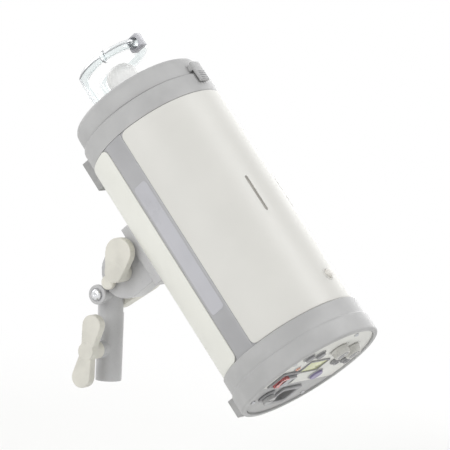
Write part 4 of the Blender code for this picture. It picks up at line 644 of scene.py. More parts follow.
def bentSheet(bm, look):  # a sheet on a cylinder round the barrel, worked out flat as across and along
    radius, roll, corner = look["radius"], look["roll"], look["corner"]
    width, length = radius * (look["to"] - look["from"]), look["front"] - look["rear"]
    half = look.get("slotWidth", 0.0) / 2
    slots = []
    for angle, low, high in look.get("slots", []):
        slots.append((radius * (angle - look["from"]), low - look["rear"], high - look["rear"]))
    marksAcross = [middle + half * k / 3 for middle, low, high in slots for k in range(-3, 4)]
    marksAlong = [end for middle, low, high in slots for end in (low, high)]
    across = fineLines(width, look, look["pitch"], marksAcross)
    along = fineLines(length, look, look["pitch"] * 2, marksAlong)

    def place(s, t):
        fromSide, fromEnd = min(s, width - s), min(t, length - t)
        depth = min(fromSide, fromEnd)
        drop = roll - sqrt(max(0.0, roll**2 - (roll - depth) ** 2)) if depth < roll else 0.0
        if fromSide < corner and fromEnd < corner:
            x, y = (corner - fromSide) / corner, (corner - fromEnd) / corner
            fromSide = corner - corner * x * sqrt(1 - y * y / 2)
            fromEnd = corner - corner * y * sqrt(1 - x * x / 2)
            s = fromSide if s < width / 2 else width - fromSide
            t = fromEnd if t < length / 2 else length - fromEnd
        for middle, low, high in slots:
            off = abs(s - middle)
            if off < half + 1e-6 and low - 1e-6 < t < high + 1e-6:
                drop = look["slotDrop"]
                if abs(t - low) < 1e-6 or abs(t - high) < 1e-6:  # the slot's round ends
                    pull = half - sqrt(max(0.0, half**2 - off**2)) * 0.999
                    t = low + pull if abs(t - low) < 1e-6 else high - pull
        return s, t, drop

    def bend(s, t, reach):
        return spun(bm, barrel, reach, look["from"] + s / radius, look["rear"] + t)

    outer, inner = {}, {}
    for i, s in enumerate(across):
        for j, t in enumerate(along):
            sAt, tAt, drop = place(s, t)
            outer[i, j] = bend(sAt, tAt, radius - min(drop, look["wall"] * 0.8))
            inner[i, j] = bend(sAt, tAt, radius - look["wall"])
    cells = set()
    for i in range(len(across) - 1):
        for j in range(len(along) - 1):
            s, t = (across[i] + across[i + 1]) / 2, (along[j] + along[j + 1]) / 2
            if not any(abs(s - middle) < half and low < t < high for middle, low, high in slots):
                cells.add((i, j))
    for i, j in cells:
        ring = ((i, j), (i + 1, j), (i + 1, j + 1), (i, j + 1))
        bm.faces.new([outer[c] for c in ring])
        bm.faces.new([inner[c] for c in reversed(ring)])
        beside = ((i, j - 1), (i + 1, j), (i, j + 1), (i - 1, j))
        for k in range(4):
            if beside[k] not in cells:
                a, b = ring[k], ring[(k + 1) % 4]
                bm.faces.new((outer[b], outer[a], inner[a], inner[b]))
    loose = [v for v in bm.verts if not v.link_faces]
    bmesh.ops.delete(bm, geom=loose, context="VERTS")
    return bm


def addCover(name, look):
    addPiece(name, bentSheet(bmesh.new(), look), look["finish"], look["node"])
    if look["slots"]:
        # pale sheets under each slot, painted light in place of the shade inside the slots
        lightSheet = bmesh.new()
        for angle, low, high in look["slots"]:
            ends = {
                "from": angle - slotLightSheet["margin"], "to": angle + slotLightSheet["margin"],
                "rear": low - slotLightSheet["reach"], "front": high + slotLightSheet["reach"],
            }
            bentSheet(lightSheet, {**slotLightSheet, **ends})
        addPiece("slotLightSheets", lightSheet, "washerFibre")


for coverName, coverLook in covers.items():
    addCover(coverName, coverLook)
print("covers bent")


# Dark bands between the covers, with a flange under the covers' rounded corners and a bare label plate
bandShape = {
    "low": radians(-17.02), "high": radians(1.86), "flange": radians(6.5), "rear": -0.130,
    "front": 0.077, "face": 0.0609, "under": 0.0602, "back": 0.0592, "roll": 0.0005, "steps": 14,
    "lip": 0.6, "lean": 0.2,  # shares of the rolled edge
}
labelPlate = {
    "radius": 0.06115, "wall": 0.0004, "from": radians(-14.6), "to": radians(-0.5),
    "rear": -0.090, "front": 0.034, "roll": 0.0002, "corner": 0.0034, "pitch": 0.002,
}


def bandOutline(look):  # angles and radii, up over the face from the lower flange and back inside
    low, high, face, under = look["low"], look["high"], look["face"], look["under"]
    edge, lip = look["roll"] / face, face - look["lip"] * look["roll"]
    lean = look["lean"] * edge
    made = [(low - look["flange"], under), (low - lean, under), (low, lip), (low + edge, face)]
    made += [(low + (high - low) * k / look["steps"], face) for k in range(1, look["steps"])]
    made += [(high - edge, face), (high, lip), (high + lean, under), (high + look["flange"], under)]
    return made + [(angle, look["back"]) for angle, radius in reversed(made)]


def addBand(side, way):
    outline = bandOutline(bandShape)
    bm = bmesh.new()
    place = barrel @ Matrix.Diagonal((way, 1, 1, 1))
    rings = []
    for forward in (bandShape["rear"], bandShape["front"]):
        rings.append([spun(bm, place, radius, angle, forward) for angle, radius in outline])
    skin(bm, rings, "open")
    count = len(outline)
    for ring in rings:  # the ends, in strips so that each face stays flat
        for k in range(count // 2 - 1):
            bm.faces.new((ring[k], ring[k + 1], ring[count - 2 - k], ring[count - 1 - k]))
    addPiece(side + "Band", bm, "bandGrey", side + "_trim")
    plate = dict(labelPlate)
    if way < 0:
        plate["from"], plate["to"] = pi - labelPlate["to"], pi - labelPlate["from"]
    addPiece(side + "LabelPlate", bentSheet(bmesh.new(), plate), "labelSatin")


for bandSide, bandWay in (("left", 1), ("right", -1)):
    addBand(bandSide, bandWay)
print("bands set between the covers")


# Collars and the accessory ring, turned
collars = {
    "frontCollar": {
        "node": "front_collar", "body": "head",
        "profile": mm(
            (50.5, 110, 0.5), (53.7, 110, 0.5), (53.7, 94.8, 0.3), (60.8, 94.8, 1.8), (60.8, 77.3, 0.5),
            (59.4, 77.3, 0.2), (59.4, 72.3, 0.4), (50.5, 72.3, 0.4),
        ),
    },
    "rearCollar": {
        "node": "rear_collar", "body": "head",
        "profile": mm(
            (56.4, -125.3, 0.4), (59.4, -125.3, 0.4), (59.4, -130.3, 0.2), (62.8, -130.3, 0.7),
            (62.8, -144.7, 0.6), (64.2, -146, 1), (64.2, -162, 3.6), (59.8, -162, 0.6), (59.8, -157.7, 0.2),
            (56, -157.7, 0.2), (56, -150.2, 0.2), (56.4, -150.2, 0.2),
        ),
    },
    "lockRing": {
        "node": "lock_ring", "body": "accessory_lock",
        "profile": mm(
            (47, 113.5, 0.9), (58.5, 113.5, 6.2), (58.5, 95.3, 0.5), (56.8, 95.3, 0.2), (56.8, 96.8, 0.2),
            (54, 96.8, 0.3), (54, 110.3, 0.2), (47, 110.3, 0.5),
        ),
    },
}
lockParts = {
    "bayonetLugs": {
        "size": (0.0078, 0.018, 0.0022), "edge": 0.0006, "segments": 3, "at": (0.0466, 0.0, 0.1119),
        "angles": (30, 150, 270),
    },
    "lockTab": {
        "size": (0.012, 0.003, 0.0188), "edge": 0.001, "segments": 3, "at": (0.0, 0.063, 0.0943),
    },
    "lockTabRoot": {
        "size": (0.0106, 0.006, 0.0052), "edge": 0.0007, "segments": 3, "at": (0.0, 0.0598, 0.0998),
    },
    "lockTabRidges": {
        "size": (0.0104, 0.0007, 0.0009), "edge": 0.0003, "segments": 2, "at": (0.0, 0.0645, 0.0862),
        "count": 5, "pitch": 0.0019, "finish": "controlDark",
    },
}


def addLockPart(name, look):  # repeated round the barrel or along it
    left, up, forward = look["at"]
    places = []
    for angle in look.get("angles", (0,)):
        for k in range(look.get("count", 1)):
            place = barrel @ Matrix.Rotation(radians(angle), 4, "Z")
            places.append(place @ Matrix.Translation((left, up, forward + k * look.get("pitch", 0.0))))
    addBlocks(name, look, places, look.get("finish", "collarGrey"), "accessory_lock")


for collarName, collarLook in collars.items():
    collarNode, collarBody = collarLook["node"], collarLook["body"]
    addTurned(collarName, collarLook["profile"], 160, barrel, "collarGrey", collarNode, body=collarBody)
for partName, partLook in lockParts.items():
    addLockPart(partName, partLook)
print("collars and lock ring turned")


# Front: dish, modelling lamp and flash tube
flashDish = mm(
    (18.6, 81.2, 0.3), (34.5, 81.2, 3), (48.2, 90.8, 1.2), (50.2, 91.3, 0.4), (50.2, 90.2, 0.3),
    (49.2, 89.9, 0.8), (35.2, 80, 3), (18.6, 80, 0.3),
)
lampSocket = mm(
    (0, 66, 0), (12.3, 66, 0), (12.3, 84, 0.6), (18.2, 84, 1), (18.2, 78.2, 0.3), (17.6, 77.6, 0.2),
    (17.6, 76.8, 0.2), (18.2, 76.2, 0.3), (18.2, 62, 0.5), (0, 62, 0),
)
lampGlass = mm(
    (0, 145.3, 0), (8.5, 145.3, 6), (14, 138, 6), (14, 106, 6), (10, 98.5, 4), (9.7, 90.3, 0.3),
    (9, 90.3, 0.3), (9.3, 98.8, 4), (13.3, 106.2, 6), (13.3, 137.8, 6), (8.3, 144.6, 6), (0, 144.6, 0),
)
lampCap = {
    "radius": 0.0120, "thread": 0.00035, "pitch": 0.0030, "rear": 0.0663, "front": 0.0860, "rings": 48,
    "shoulder": mm((10.3, 87.4), (10, 89), (10, 90), (0, 90)),
}
filament = {
    "forward": 0.1205, "reach": 0.0042, "turns": 13, "turnSteps": 10, "coil": 0.0011, "wire": 0.00022,
    "posts": ((0.5, 0.0904), (0.6, 0.105), (1.0, 0.112), (1.0, 0.1205)),  # share of the reach, and forward
    "post": 0.0004,
}
flashTube = {
    "ring": 0.028, "radius": 0.004, "bore": 0.0030, "plane": 0.150, "open": radians(40), "bend": 0.007,
    "foot": 0.0773, "ringSteps": 72, "bendSteps": 10, "legSteps": 8, "sides": 18,
    "electrode": mm(
        (0, 79, 0), (1.1, 79, 0.2), (1.1, 100, 0.3), (2.1, 100.3, 0.3), (2.1, 108.5, 0.6), (0, 109, 0),
    ),
    "collar": mm(
        (0, 77, 0), (4.3, 77, 0), (4.3, 89, 0.4), (5.4, 89, 0.6), (6.2, 87.6, 0.4), (6.2, 83.5, 0.2),
        (5.8, 83.1, 0.2), (5.8, 82.5, 0.2), (6.2, 82.1, 0.2), (6.2, 71, 0.3), (0, 71, 0),
    ),
}
triggerWire = {
    "radius": 0.0007, "off": 0.005, "first": radians(72), "last": radians(-40),
    "loop": radians(20), "spread": radians(5), "dish": 0.0817, "drop": 0.003,
    "steps": (20, 32, 24),  # to the loop, round the tube, and on
    "sides": 10,
}


def addLampCap(look):
    reach, length = look["radius"] - look["thread"], look["front"] - look["rear"]
    rings = [(0.0, look["rear"])]
    rings += [(reach, look["rear"] + length * k / look["rings"]) for k in range(look["rings"] + 1)]
    rings += look["shoulder"]

    def thread(number, angle, radius):
        if number > look["rings"] + 1:
            return radius
        return radius + look["thread"] * sin(2 * pi * rings[number][1] / look["pitch"] - angle)

    addTurned("lampCap", rings, 48, barrel, "boltSteel", "lamp_base", shape=thread, sharp=60)


def addFilament(look):
    coil, count = [], look["turns"] * look["turnSteps"]
    for k in range(count + 1):
        turn = 2 * pi * k / look["turnSteps"]
        left = look["reach"] * (2 * k / count - 1)
        coil.append((left, look["coil"] * cos(turn), look["forward"] + look["coil"] * sin(turn)))
    bm = pipe(bmesh.new(), coil, look["wire"], 6, barrel)
    for side in (-1, 1):
        post = [(side * look["reach"] * share, 0, forward) for share, forward in look["posts"]]
        pipe(bm, post, look["post"], 8, barrel)
    addPiece("lampFilament", bm, "boltSteel", sharp=70)


def tubeLeg(look, side):
    angle = look["open"] - pi / 2
    across = look["ring"] * cos(angle) + look["bend"] * sin(angle)
    return side * across, look["ring"] * sin(angle) - look["bend"] * cos(angle)


def tubePath(look):
    start = look["open"] - pi / 2
    end = pi - start
    across, up = tubeLeg(look, 1)
    rise = look["plane"] - look["bend"] - look["foot"]
    half = [(across, up, look["foot"] + rise * k / look["legSteps"]) for k in range(look["legSteps"] + 1)]
    for k in range(1, look["bendSteps"]):
        angle = pi / 2 * (1 - k / look["bendSteps"])
        out, back = look["bend"] * sin(angle), look["bend"] * (1 - cos(angle))
        half.append((
            look["ring"] * cos(start) + out * sin(start),
            look["ring"] * sin(start) - out * cos(start),
            look["plane"] - back,
        ))
    ring = []
    for k in range(look["ringSteps"] + 1):
        angle = start + (end - start) * k / look["ringSteps"]
        ring.append((look["ring"] * cos(angle), look["ring"] * sin(angle), look["plane"]))
    return half + ring + [(-left, up, forward) for left, up, forward in reversed(half)]


def addFlashTube(look):
    glass = pipe(bmesh.new(), tubePath(look), look["radius"], look["sides"], barrel, look["bore"])
    addPiece("flashTube", glass, "tubeGlass", "flash_tube", sharp=60)
    rods = bmesh.new()
    for name, side in (("left", 1), ("right", -1)):
        place = onBarrel(*tubeLeg(look, side))
        lathe(rods, softened(look["electrode"]), 24, place)
        addTurned(name + "TubeSocket", look["collar"], 48, place, "socketCeramic", "tube_socket_" + name)
    addPiece("tubeElectrodes", rods, "boltSteel")


def addTriggerWire(look, tube):
    before, after = look["loop"] + look["spread"], look["loop"] - look["spread"]
    stops = (look["first"], before, after, look["last"])
    points = []
    for start, end, steps in zip(stops, stops[1:], look["steps"]):
        for k in range(steps):
            angle = start + (end - start) * k / steps
            around = 2 * pi * min(1, max(0, (before - angle) / (before - after)))
            out = tube["ring"] + look["off"] * cos(around)
            forward = tube["plane"] + look["off"] * sin(around)
            points.append((out * cos(angle), out * sin(angle), forward))
    out = tube["ring"] + look["off"]
    for forward in (tube["plane"], tube["plane"] - look["drop"], look["dish"]):
        points.append((out * cos(look["last"]), out * sin(look["last"]), forward))
    wire = pipe(bmesh.new(), points, look["radius"], look["sides"], barrel)
    addPiece("triggerWire", wire, "boltSteel", "trigger_wire", sharp=60)


addTurned("flashDish", flashDish, 128, barrel, "dishAluminium", "reflector")
addTurned("lampSocket", lampSocket, 72, barrel, "socketCeramic", "lamp_socket")
addLampCap(lampCap)
addTurned("lampGlass", lampGlass, 72, barrel, "lampFrost", "modelling_lamp", rounding=8, sharp=60)
addFilament(filament)
addFlashTube(flashTube)
addTriggerWire(triggerWire, flashTube)
print("front fitted: dish, lamp and flash tube")


# Rear panel: display, dials, buttons, switch, jacks, mains inlet and fuse
display = {
    "place": (0.009, 0.011),
    "bezel": mm(
        (31.8, 16.8, 1.4, 0.1), (31.8, 16.8, 1.4, 0.7), (31.2, 16.2, 1.2, 1.1), (29.6, 14.6, 0.8, 1.1),
        (29, 14, 0.6, 0.6), (29, 14, 0.6, 0.1),
    ),
    "window": mm((29.8, 14.8, 0.8, -10), (29.8, 14.8, 0.8, 0.2), (28.6, 13.6, 0.6, 0.4)),
}
dials = {
    "powerDial": {"place": (0.0, 0.0335), "node": "power_dial"},
    "modelDial": {"place": (-0.0225, 0.031), "node": "model_dial"},
}
dialShape = {
    "profile": mm(
        (0, -9.5, 0), (3, -9.5, 0.3), (3, 0.3, 0), (8, 0.3, 0.3), (8, 1.6, 0.5), (7.4, 2.1, 0.3),
        (6.9, 6.2, 0.4), (6.3, 6.9, 0.4), (5.1, 6.9, 0.2), (5, 5.8, 0.1), (0, 5.8, 0),
    ),
    "cap": mm((0, 6, 0), (4.8, 6, 0.2), (4.8, 6.8, 0.3), (4, 7.1, 0.4), (0, 6.9, 0)),
    "flutes": 22, "flute": 0.055, "gripFrom": 0.0024, "gripTo": 0.0066, "gripRadius": 0.006, "steps": 132,
    "pointer": {"size": (0.0009, 0.0034, 0.0004), "edge": 0.0001, "segments": 2, "at": (0.0, 0.0026, 0.0070)},
    "tick": {"size": (0.0005, 0.0011, 0.0003), "edge": 0.0001, "segments": 1, "at": (0.0, 0.0093, 0.0)},
    "ticks": 11, "span": radians(300),
}
buttons = {
    "testButton": {
        "place": (-0.0165, -0.005), "radius": 0.006, "node": "test_button", "finish": "buttonViolet",
    },
    "leftModeButton": {
        "place": (0.0395, 0.0275), "radius": 0.0042, "node": "mode_button_left", "finish": "controlDark",
    },
    "rightModeButton": {
        "place": (0.025, 0.0295), "radius": 0.0042, "node": "mode_button_right", "finish": "controlDark",
    },
}
buttonShape = {  # radii are measured from the button's own
    "profile": mm((0, -5, 0.2), (0, 2, 0.4), (-0.5, 2.6, 0.4), (-1.6, 2.4, 0.8)),
    "bezel": mm((0.4, 0.1, 0), (1.5, 0.1, 0), (1.2, 0.8, 0.3), (0.5, 0.8, 0.2)),
    "dip": 0.0021,
}
readyLamp = {
    "place": (0.0355, 0.0115),
    "profile": mm((0, -6, 0), (2.6, -6, 0), (2.6, 0.6, 0.3), (1.9, 1.7, 0.8), (0, 1.8, 0)),
    "bezel": mm((2.8, 0.1, 0), (3.7, 0.1, 0), (3.4, 0.6, 0.2), (2.9, 0.6, 0.1)),
}
rocker = {
    "place": (0.0375, -0.0035),
    "frame": mm(
        (23.1, 18.4, 0.8, -6.4), (23.1, 18.4, 0.8, 0.2), (25.6, 20.9, 1.6, 0.3), (25.6, 20.9, 1.6, 1.3),
        (25, 20.3, 1.4, 1.8), (21.2, 16.5, 0.8, 1.8), (20.6, 15.9, 0.5, 1.4), (20.6, 15.9, 0.5, -5.1),
    ),
    "outline": mm(
        (-5.4, -2, 2), (0, -4.7, 4), (5.4, -2, 2), (6.6, 0.8, 0.8), (6.7, 4, 0.6), (0, 2.8, 5),
        (-6.7, 4, 0.6), (-6.6, 0.8, 0.8),
    ),
    "edge": 0.0004,
    "rockerPaddle": {"from": -0.0024, "to": 0.0099, "finish": "bandGrey", "nodes": ["power_rocker"]},
    "rockerLens": {"from": -0.0099, "to": -0.0026, "finish": "rockerRed", "nodes": []},
}
jacks = {
    "syncJack": {"place": (-0.0225, 0.0135), "node": "sync_jack", "hexed": True},
    "remoteJack": {"place": (-0.041, 0.0125), "node": "remote_jack", "hexed": False},
}
jackShape = {
    "profile": mm(
        (0, -6.2, 0), (3.6, -6.2, 0), (3.6, 0.3, 0), (5, 0.3, 0.2), (5, 1.4, 0.3), (4.6, 1.8, 0.1),
        (3.7, 1.9, 0.1), (3.5, 3.3, 0.3), (2.1, 3.3, 0.2), (1.8, 2.8, 0.2), (1.8, -4.5, 0), (0, -4.7, 0),
    ),
    "nutRadius": 0.0040, "nutCorner": 0.0050,
}
mainsInlet = {
    "place": (0.0, -0.032),
    "shell": mm(
        (27.4, 20.4, 2, -19.7), (27.4, 20.4, 2, 0.3), (31.4, 24.4, 2.4, 0.3), (31.4, 24.4, 2.4, 1.5),
        (30.6, 23.6, 2.2, 2.1), (24.4, 17.4, 3.4, 2.1), (23.4, 16.4, 3, 1.5), (23.4, 16.4, 3, -14.7),
    ),
    "pin": {"size": (0.0021, 0.0053, 0.0112), "edge": 0.0005, "segments": 3},
    "pins": ((-0.007, -0.002, -0.0092), (0.0, 0.002, -0.0092), (0.007, -0.002, -0.0092)),
    "screw": {"radius": 0.0013, "height": 0.0006},
    "screws": ((-0.0137, 0.0, 0.0020), (0.0137, 0.0, 0.0020)),
}
fuseHolder = {
    "place": (0.029, -0.029),
    "holder": mm(
        (0, -23.7, 0), (6.2, -23.7, 0.4), (6.2, 0.3, 0), (8, 0.3, 0.2), (8, 1.5, 0.4), (7.4, 2.1, 0.3),
        (0, 2.1, 0),
    ),
    "cap": mm(
        (0, 2.4), (5.4, 2.4), (5.6, 2.7), (5.6, 5), (5.4, 5.5), (5, 5.8), (4.6, 5.8), (4.4, 5.6), (4.2, 4.7),
        (0, 4.6),
    ),
    "slotLength": 0.0044, "slotHalf": 0.0008, "slotFrom": 6, "flutes": 18, "flute": 0.05, "gripRings": (2, 3),
}
panelScrews = {
    "places": ((0.0510, 0.0195), (-0.0500, 0.0225), (0.0, 0.0535), (0.0400, -0.0370), (-0.0400, -0.0370)),
    "out": 0.0001, "radius": 0.0021, "height": 0.0012,
}
screwHead = {  # shares of a screw's radius and height, or of its cross
    "crossLength": 0.62, "crossHalf": 0.16, "cross": ((0.0, 0.2), (0.8, 0.2), (1.0, 0.86)),
    "head": ((0.72, 0.95), (0.90, 0.7), (1.0, 0.25), (1.0, 0.0), (0.0, 0.0)),
}


def slotReach(length, half, angle):  # outline of a screwdriver's slot, round the middle
    return min(length / (abs(cos(angle)) + 1e-9), half / (abs(sin(angle)) + 1e-9))


def hexReach(corner, angle):
    return corner * cos(pi / 6) / cos((angle % (pi / 3)) - pi / 6)


def fluted(look, angle, radius):  # finger grooves round a knob
    return radius * (1 - look["flute"] * (0.5 + 0.5 * cos(look["flutes"] * angle)) ** 2)


def addScrews(name, look, places):
    radius, height = look["radius"], look["height"]
    length, half = screwHead["crossLength"] * radius, screwHead["crossHalf"] * radius
    rings = [(share, rise * height) for share, rise in screwHead["cross"]]
    rings += [(share * radius, rise * height) for share, rise in screwHead["head"]]

    def recessed(number, angle, share):
        if number >= len(screwHead["cross"]):
            return share
        return share * max(slotReach(length, half, way) for way in (angle, angle + pi / 2))

    bm = bmesh.new()
    for place in places:
        lathe(bm, rings, 48, place, recessed)
    addPiece(name, bm, "boltSteel")


def addDisplay(look):
    place = onPanel(*look["place"])
    addPiece("displayBezel", stacked(bmesh.new(), look["bezel"], place, "joined"), "controlDark")
    addPiece("displayWindow", stacked(bmesh.new(), look["window"], place), "displayGreen", "lcd_window")


def addDial(name, look, shape):
    place, node = onPanel(*look["place"]), look["node"]
    profile = softened(shape["profile"])

    def grip(number, angle, radius):
        gripped = shape["gripFrom"] < profile[number][1] < shape["gripTo"] and radius >= shape["gripRadius"]
        return fluted(shape, angle, radius) if gripped else radius

    addTurned(name, profile, shape["steps"], place, "dialGrey", node, shape=grip, body=node, sharp=40)
    addTurned(name + "Cap", shape["cap"], 72, place, "controlDark", body=node)
    pointer, tick = shape["pointer"], shape["tick"]
    addBlocks(name + "Pointer", pointer, [place @ Matrix.Translation(pointer["at"])], "markWhite", node)
    scale = []
    for k in range(shape["ticks"]):
        turn = Matrix.Rotation(shape["span"] * (k / (shape["ticks"] - 1) - 0.5), 4, "Z")
        scale.append(place @ turn @ Matrix.Translation(tick["at"]))
    addBlocks(name + "Scale", tick, scale, "controlDark")


def addButton(name, look, shape):
    def around(rows):
        return [(look["radius"] + out, height, ease) for out, height, ease in rows]

    place, node = onPanel(*look["place"]), look["node"]
    foot, dip = (0.0, shape["profile"][0][1], 0.0), (0.0, shape["dip"], 0.0)
    cap = [foot] + around(shape["profile"]) + [dip]
    addTurned(name, cap, 56, place, look["finish"], node, body=node)
    addTurned(name + "Bezel", around(shape["bezel"]), 56, place, "collarGrey")


def addReadyLamp(look):
    place = onPanel(*look["place"])
    addTurned("readyLens", look["profile"], 40, place, "readyAmber", "ready_lamp", rounding=6)
    addTurned("readyBezel", look["bezel"], 40, place, "boltSteel")


def addRocker(look):
    place = onPanel(*look["place"])
    well = stacked(bmesh.new(), look["frame"], place)
    addPiece("rockerFrame", well, "controlDark", "rocker_frame", slot="band_grey")
    outline = softened(look["outline"])
    for name in ("rockerPaddle", "rockerLens"):
        part = look[name]
        low, high = part["from"], part["to"]  # across, to the strobe's right
        turned = facing(1, (low + high) / 2, 0, 0)
        bar = prism(bmesh.new(), outline, (high - low) / 2, look["edge"], place @ turned)
        addPiece(name, bar, part["finish"], *part["nodes"], body="power_rocker")


def addJack(name, look, shape):
    def nut(number, angle, radius):
        if not look["hexed"] or radius < shape["nutRadius"]:
            return radius
        return min(radius, hexReach(shape["nutCorner"], angle))

    addTurned(name, shape["profile"], 60, onPanel(*look["place"]), "controlDark", look["node"], shape=nut)


def addMainsInlet(look):
    place = onPanel(*look["place"])
    shell = stacked(bmesh.new(), look["shell"], place)
    addPiece("mainsInlet", shell, "controlDark", "mains_inlet", slot="band_grey")
    pins, screws = ([place @ Matrix.Translation(at) for at in look[part]] for part in ("pins", "screws"))
    addBlocks("mainsPins", look["pin"], pins, "pinBrass")
    addScrews("mainsScrews", look["screw"], screws)


def addFuse(look):
    place = onPanel(*look["place"])
    addTurned("fuseHolder", look["holder"], 56, place, "controlDark", "fuse_holder", slot="band_grey")

    def cap(number, angle, radius):
        if number > look["slotFrom"]:
            return slotReach(look["slotLength"], look["slotHalf"], angle) * radius / look["slotLength"]
        return fluted(look, angle, radius) if number in look["gripRings"] else radius

    addTurned("fuseCap", look["cap"], 108, place, "collarGrey", "fuse_cap", shape=cap, slot="band_grey")


addDisplay(display)
for dialName, dialLook in dials.items():
    addDial(dialName, dialLook, dialShape)
for buttonName, buttonLook in buttons.items():
    addButton(buttonName, buttonLook, buttonShape)
addReadyLamp(readyLamp)
addRocker(rocker)
for jackName, jackLook in jacks.items():
    addJack(jackName, jackLook, jackShape)
addMainsInlet(mainsInlet)
addFuse(fuseHolder)
addScrews("panelScrews", panelScrews, [onPanel(*at, panelScrews["out"]) for at in panelScrews["places"]])
print("rear panel fitted")


# Slave sensor on top, and the bracket's bolts and screws
slaveSensor = {
    "forward": -0.107,
    "lens": mm((0, 58.5, 0), (4, 58.5, 0), (4, 62.2, 0.4), (3.4, 64, 1), (2, 64.7, 0.8), (0, 64.7, 0)),
    "bezel": mm((4.2, 60.8, 0), (5.9, 60.8, 0), (5.5, 62, 0.4), (4.3, 62.2, 0.3)),
}
bracket = {"body": "stand_bracket", "sharp": 32}
fasteners = {  # side 1 faces the strobe's right; socket and flats are the rings that follow a hexagon
    "crossBolt": {
        **bracket, "node": "cross_bolt", "side": -1, "place": (-0.0223, 0.0, 0.074), "finish": "capChrome",
        "steps": 60, "sharp": 40, "socket": (1, 2),
        "profile": mm(
            (0, 2.2), (1.1, 2.2), (1.2, 3.2), (1.4, 3.4), (2.4, 3.3), (3.4, 3), (4.2, 2.3), (4.7, 1.3),
            (4.8, 0.4), (4.6, 0), (3, 0), (3, -44), (0, -44),
        ),
    },
    "lugRim": {  # raised round the end of the casting's lug
        **bracket, "side": -1, "place": (-0.0220, 0.0, 0.074), "finish": "castGrey", "steps": 72,
        "profile": mm(
            (5.6, -1, 0), (5.6, 0.7, 0.3), (7.8, 0.7, 0.5), (8.4, -0.1, 0.5), (8.4, -2.2, 0.5), (7, -3, 0.4),
            (6.4, -3, 0),
        ),
    },
    "crossNut": {
        **bracket, "node": "cross_nut", "side": 1, "place": (0.0173, 0.0, 0.074), "finish": "boltSteel",
        "steps": 72, "flats": (1, 2, 3, 4), "corner": 0.0060,
        "profile": mm((3.4, 0.2), (5.4, 0), (6, 0.4), (6, 4), (5.4, 4.5), (3.6, 4.5), (3.3, 4.2)),
    },
    "tiltBolt": {
        **bracket, "node": "tilt_bolt", "side": 1, "place": (0.0173, -0.023, 0.095), "finish": "boltSteel",
        "steps": 72, "flats": (4, 5, 6, 7), "corner": 0.0080,
        "profile": mm(
            (0, 4.7), (5.4, 4.7), (6, 5), (6.8, 5), (7.4, 4.7), (8, 4.2), (8, 0.3), (7.6, 0), (4, 0),
            (4, -47), (0, -47.3),
        ),
    },
    "umbrellaScrew": {
        "node": "umbrella_screw", "body": "umbrella_lock", "side": -1, "place": (-0.0186, -0.01151, 0.08536),
        "finish": "knobPutty", "steps": 156, "sharp": 40, "flutes": 26, "flute": 0.06, "gripRadius": 0.0054,
        "profile": mm(
            (0, 6.6, 0), (3.6, 6.8, 0.6), (4.8, 7.1, 0.4), (6, 6.4, 0.3), (6, 2.2, 0.3), (5.2, 1.6, 0.3),
            (4.4, 0, 0.2), (2.2, 0, 0), (2.2, -5, 0.3), (0, -5.2, 0),
        ),
    },
}


def addSensor(look):
    upward = onBarrel(0, 0, look["forward"]) @ Matrix.Rotation(-pi / 2, 4, "X")
    addTurned("sensorLens", look["lens"], 48, upward, "sensorPale", "slave_sensor", rounding=6)
    addTurned("sensorBezel", look["bezel"], 48, upward, "dialGrey")


def addFastener(name, look):
    def shape(number, angle, radius):
        if number in look.get("socket", ()):
            return hexReach(radius, angle)
        if number in look.get("flats", ()):
            return min(radius, hexReach(look["corner"], angle))
        return fluted(look, angle, radius) if radius >= look.get("gripRadius", inf) else radius

    stoodFor = [look["node"]] if "node" in look else []
    place = facing(look["side"], *look["place"])
    addTurned(
        name, look["profile"], look["steps"], place, look["finish"], *stoodFor,
        shape=shape, body=look["body"], sharp=look["sharp"],
    )


addSensor(slaveSensor)
for fastenerName, fastenerLook in fasteners.items():
    addFastener(fastenerName, fastenerLook)
print("sensor and bracket screws fitted")


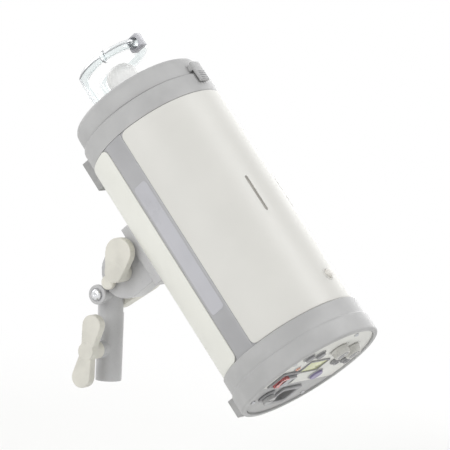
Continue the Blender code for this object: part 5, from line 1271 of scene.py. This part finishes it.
# CAD nodes that stay: welded and rounded, with a finish each
keptCastings = {  # node: (finish, voxel size, smoothing)
    "stand_socket": ("castGrey", 0.00055, 7),
    "tilt_cheek": ("knobPutty", 0.00055, 7),
    "mount_shoe": ("castGrey", 0.00060, 7),
    "tilt_lever": ("knobPutty", 0.00042, 11),
    "clamp_wing": ("knobPutty", 0.00042, 11),
}
keptNodes = {  # finish: nodes
    # ring_washer and friction_disc take the fibre colour with painted light in it
    "washerFibre": ("friction_disc", "ring_washer"),
    "boltSteel": ("clamp_screw", "shoe_bolt_front", "shoe_bolt_rear"),
    "panelGrey": ("control_panel",),
    "collarGrey": ("connector_panel",),
    "footRubber": ("front_foot", "rear_foot"),
    "labelSatin": ("tube_clip",),
    "dishAluminium": ("chassis_plate", "spacer_front", "spacer_rear", "capacitor_clamp", "heat_sink"),
    "canSleeve": ("capacitor_left", "capacitor_right"),
    "boardGreen": ("main_board", "control_board"),
    "windingCopper": ("transformer", "trigger_coil"),
}
keptEdges = {
    "front_foot": 0.0012, "rear_foot": 0.0008, "tube_clip": 0.0006, "control_panel": 0.0003,
    "connector_panel": 0.0003,
}
dressing = {
    "weld": 0.00001, "easing": 0.5, "flat": radians(0.5), "rim": radians(40), "rimSteps": 3,
    "split": radians(34),
}


def addModifier(node, name, kind, **settings):
    made = node.modifiers.new(name, kind)
    for key, value in settings.items():
        setattr(made, key, value)


def dressNode(name, finish):
    node = nodes[name]
    node.data.materials.clear()
    node.data.materials.append(finishes[finish])
    if "custom_normal" in node.data.attributes:
        node.data.attributes.remove(node.data.attributes["custom_normal"])
    node.data.shade_smooth()
    addModifier(node, "weld", "WELD", merge_threshold=dressing["weld"])
    return node


def dressCasting(name, finish, voxel, rounds):
    node = dressNode(name, finish)
    addModifier(node, "skin", "REMESH", mode="VOXEL", voxel_size=voxel, use_smooth_shade=True)
    addModifier(node, "ease", "SMOOTH", factor=dressing["easing"], iterations=rounds)


def dressPlain(name, finish):
    node = dressNode(name, finish)
    addModifier(node, "flat", "DECIMATE", decimate_type="DISSOLVE", angle_limit=dressing["flat"])
    if name in keptEdges:
        addModifier(
            node, "rim", "BEVEL", width=keptEdges[name], segments=dressing["rimSteps"],
            limit_method="ANGLE", angle_limit=dressing["rim"],
        )
    addModifier(node, "split", "EDGE_SPLIT", split_angle=dressing["split"])


for nodeName, (finishName, voxelSize, easing) in keptCastings.items():
    dressCasting(nodeName, finishName, voxelSize, easing)
for finishName, nodeNames in keptNodes.items():
    for nodeName in nodeNames:
        dressPlain(nodeName, finishName)
print("kept nodes dressed:", len(keptCastings) + sum(len(names) for names in keptNodes.values()))
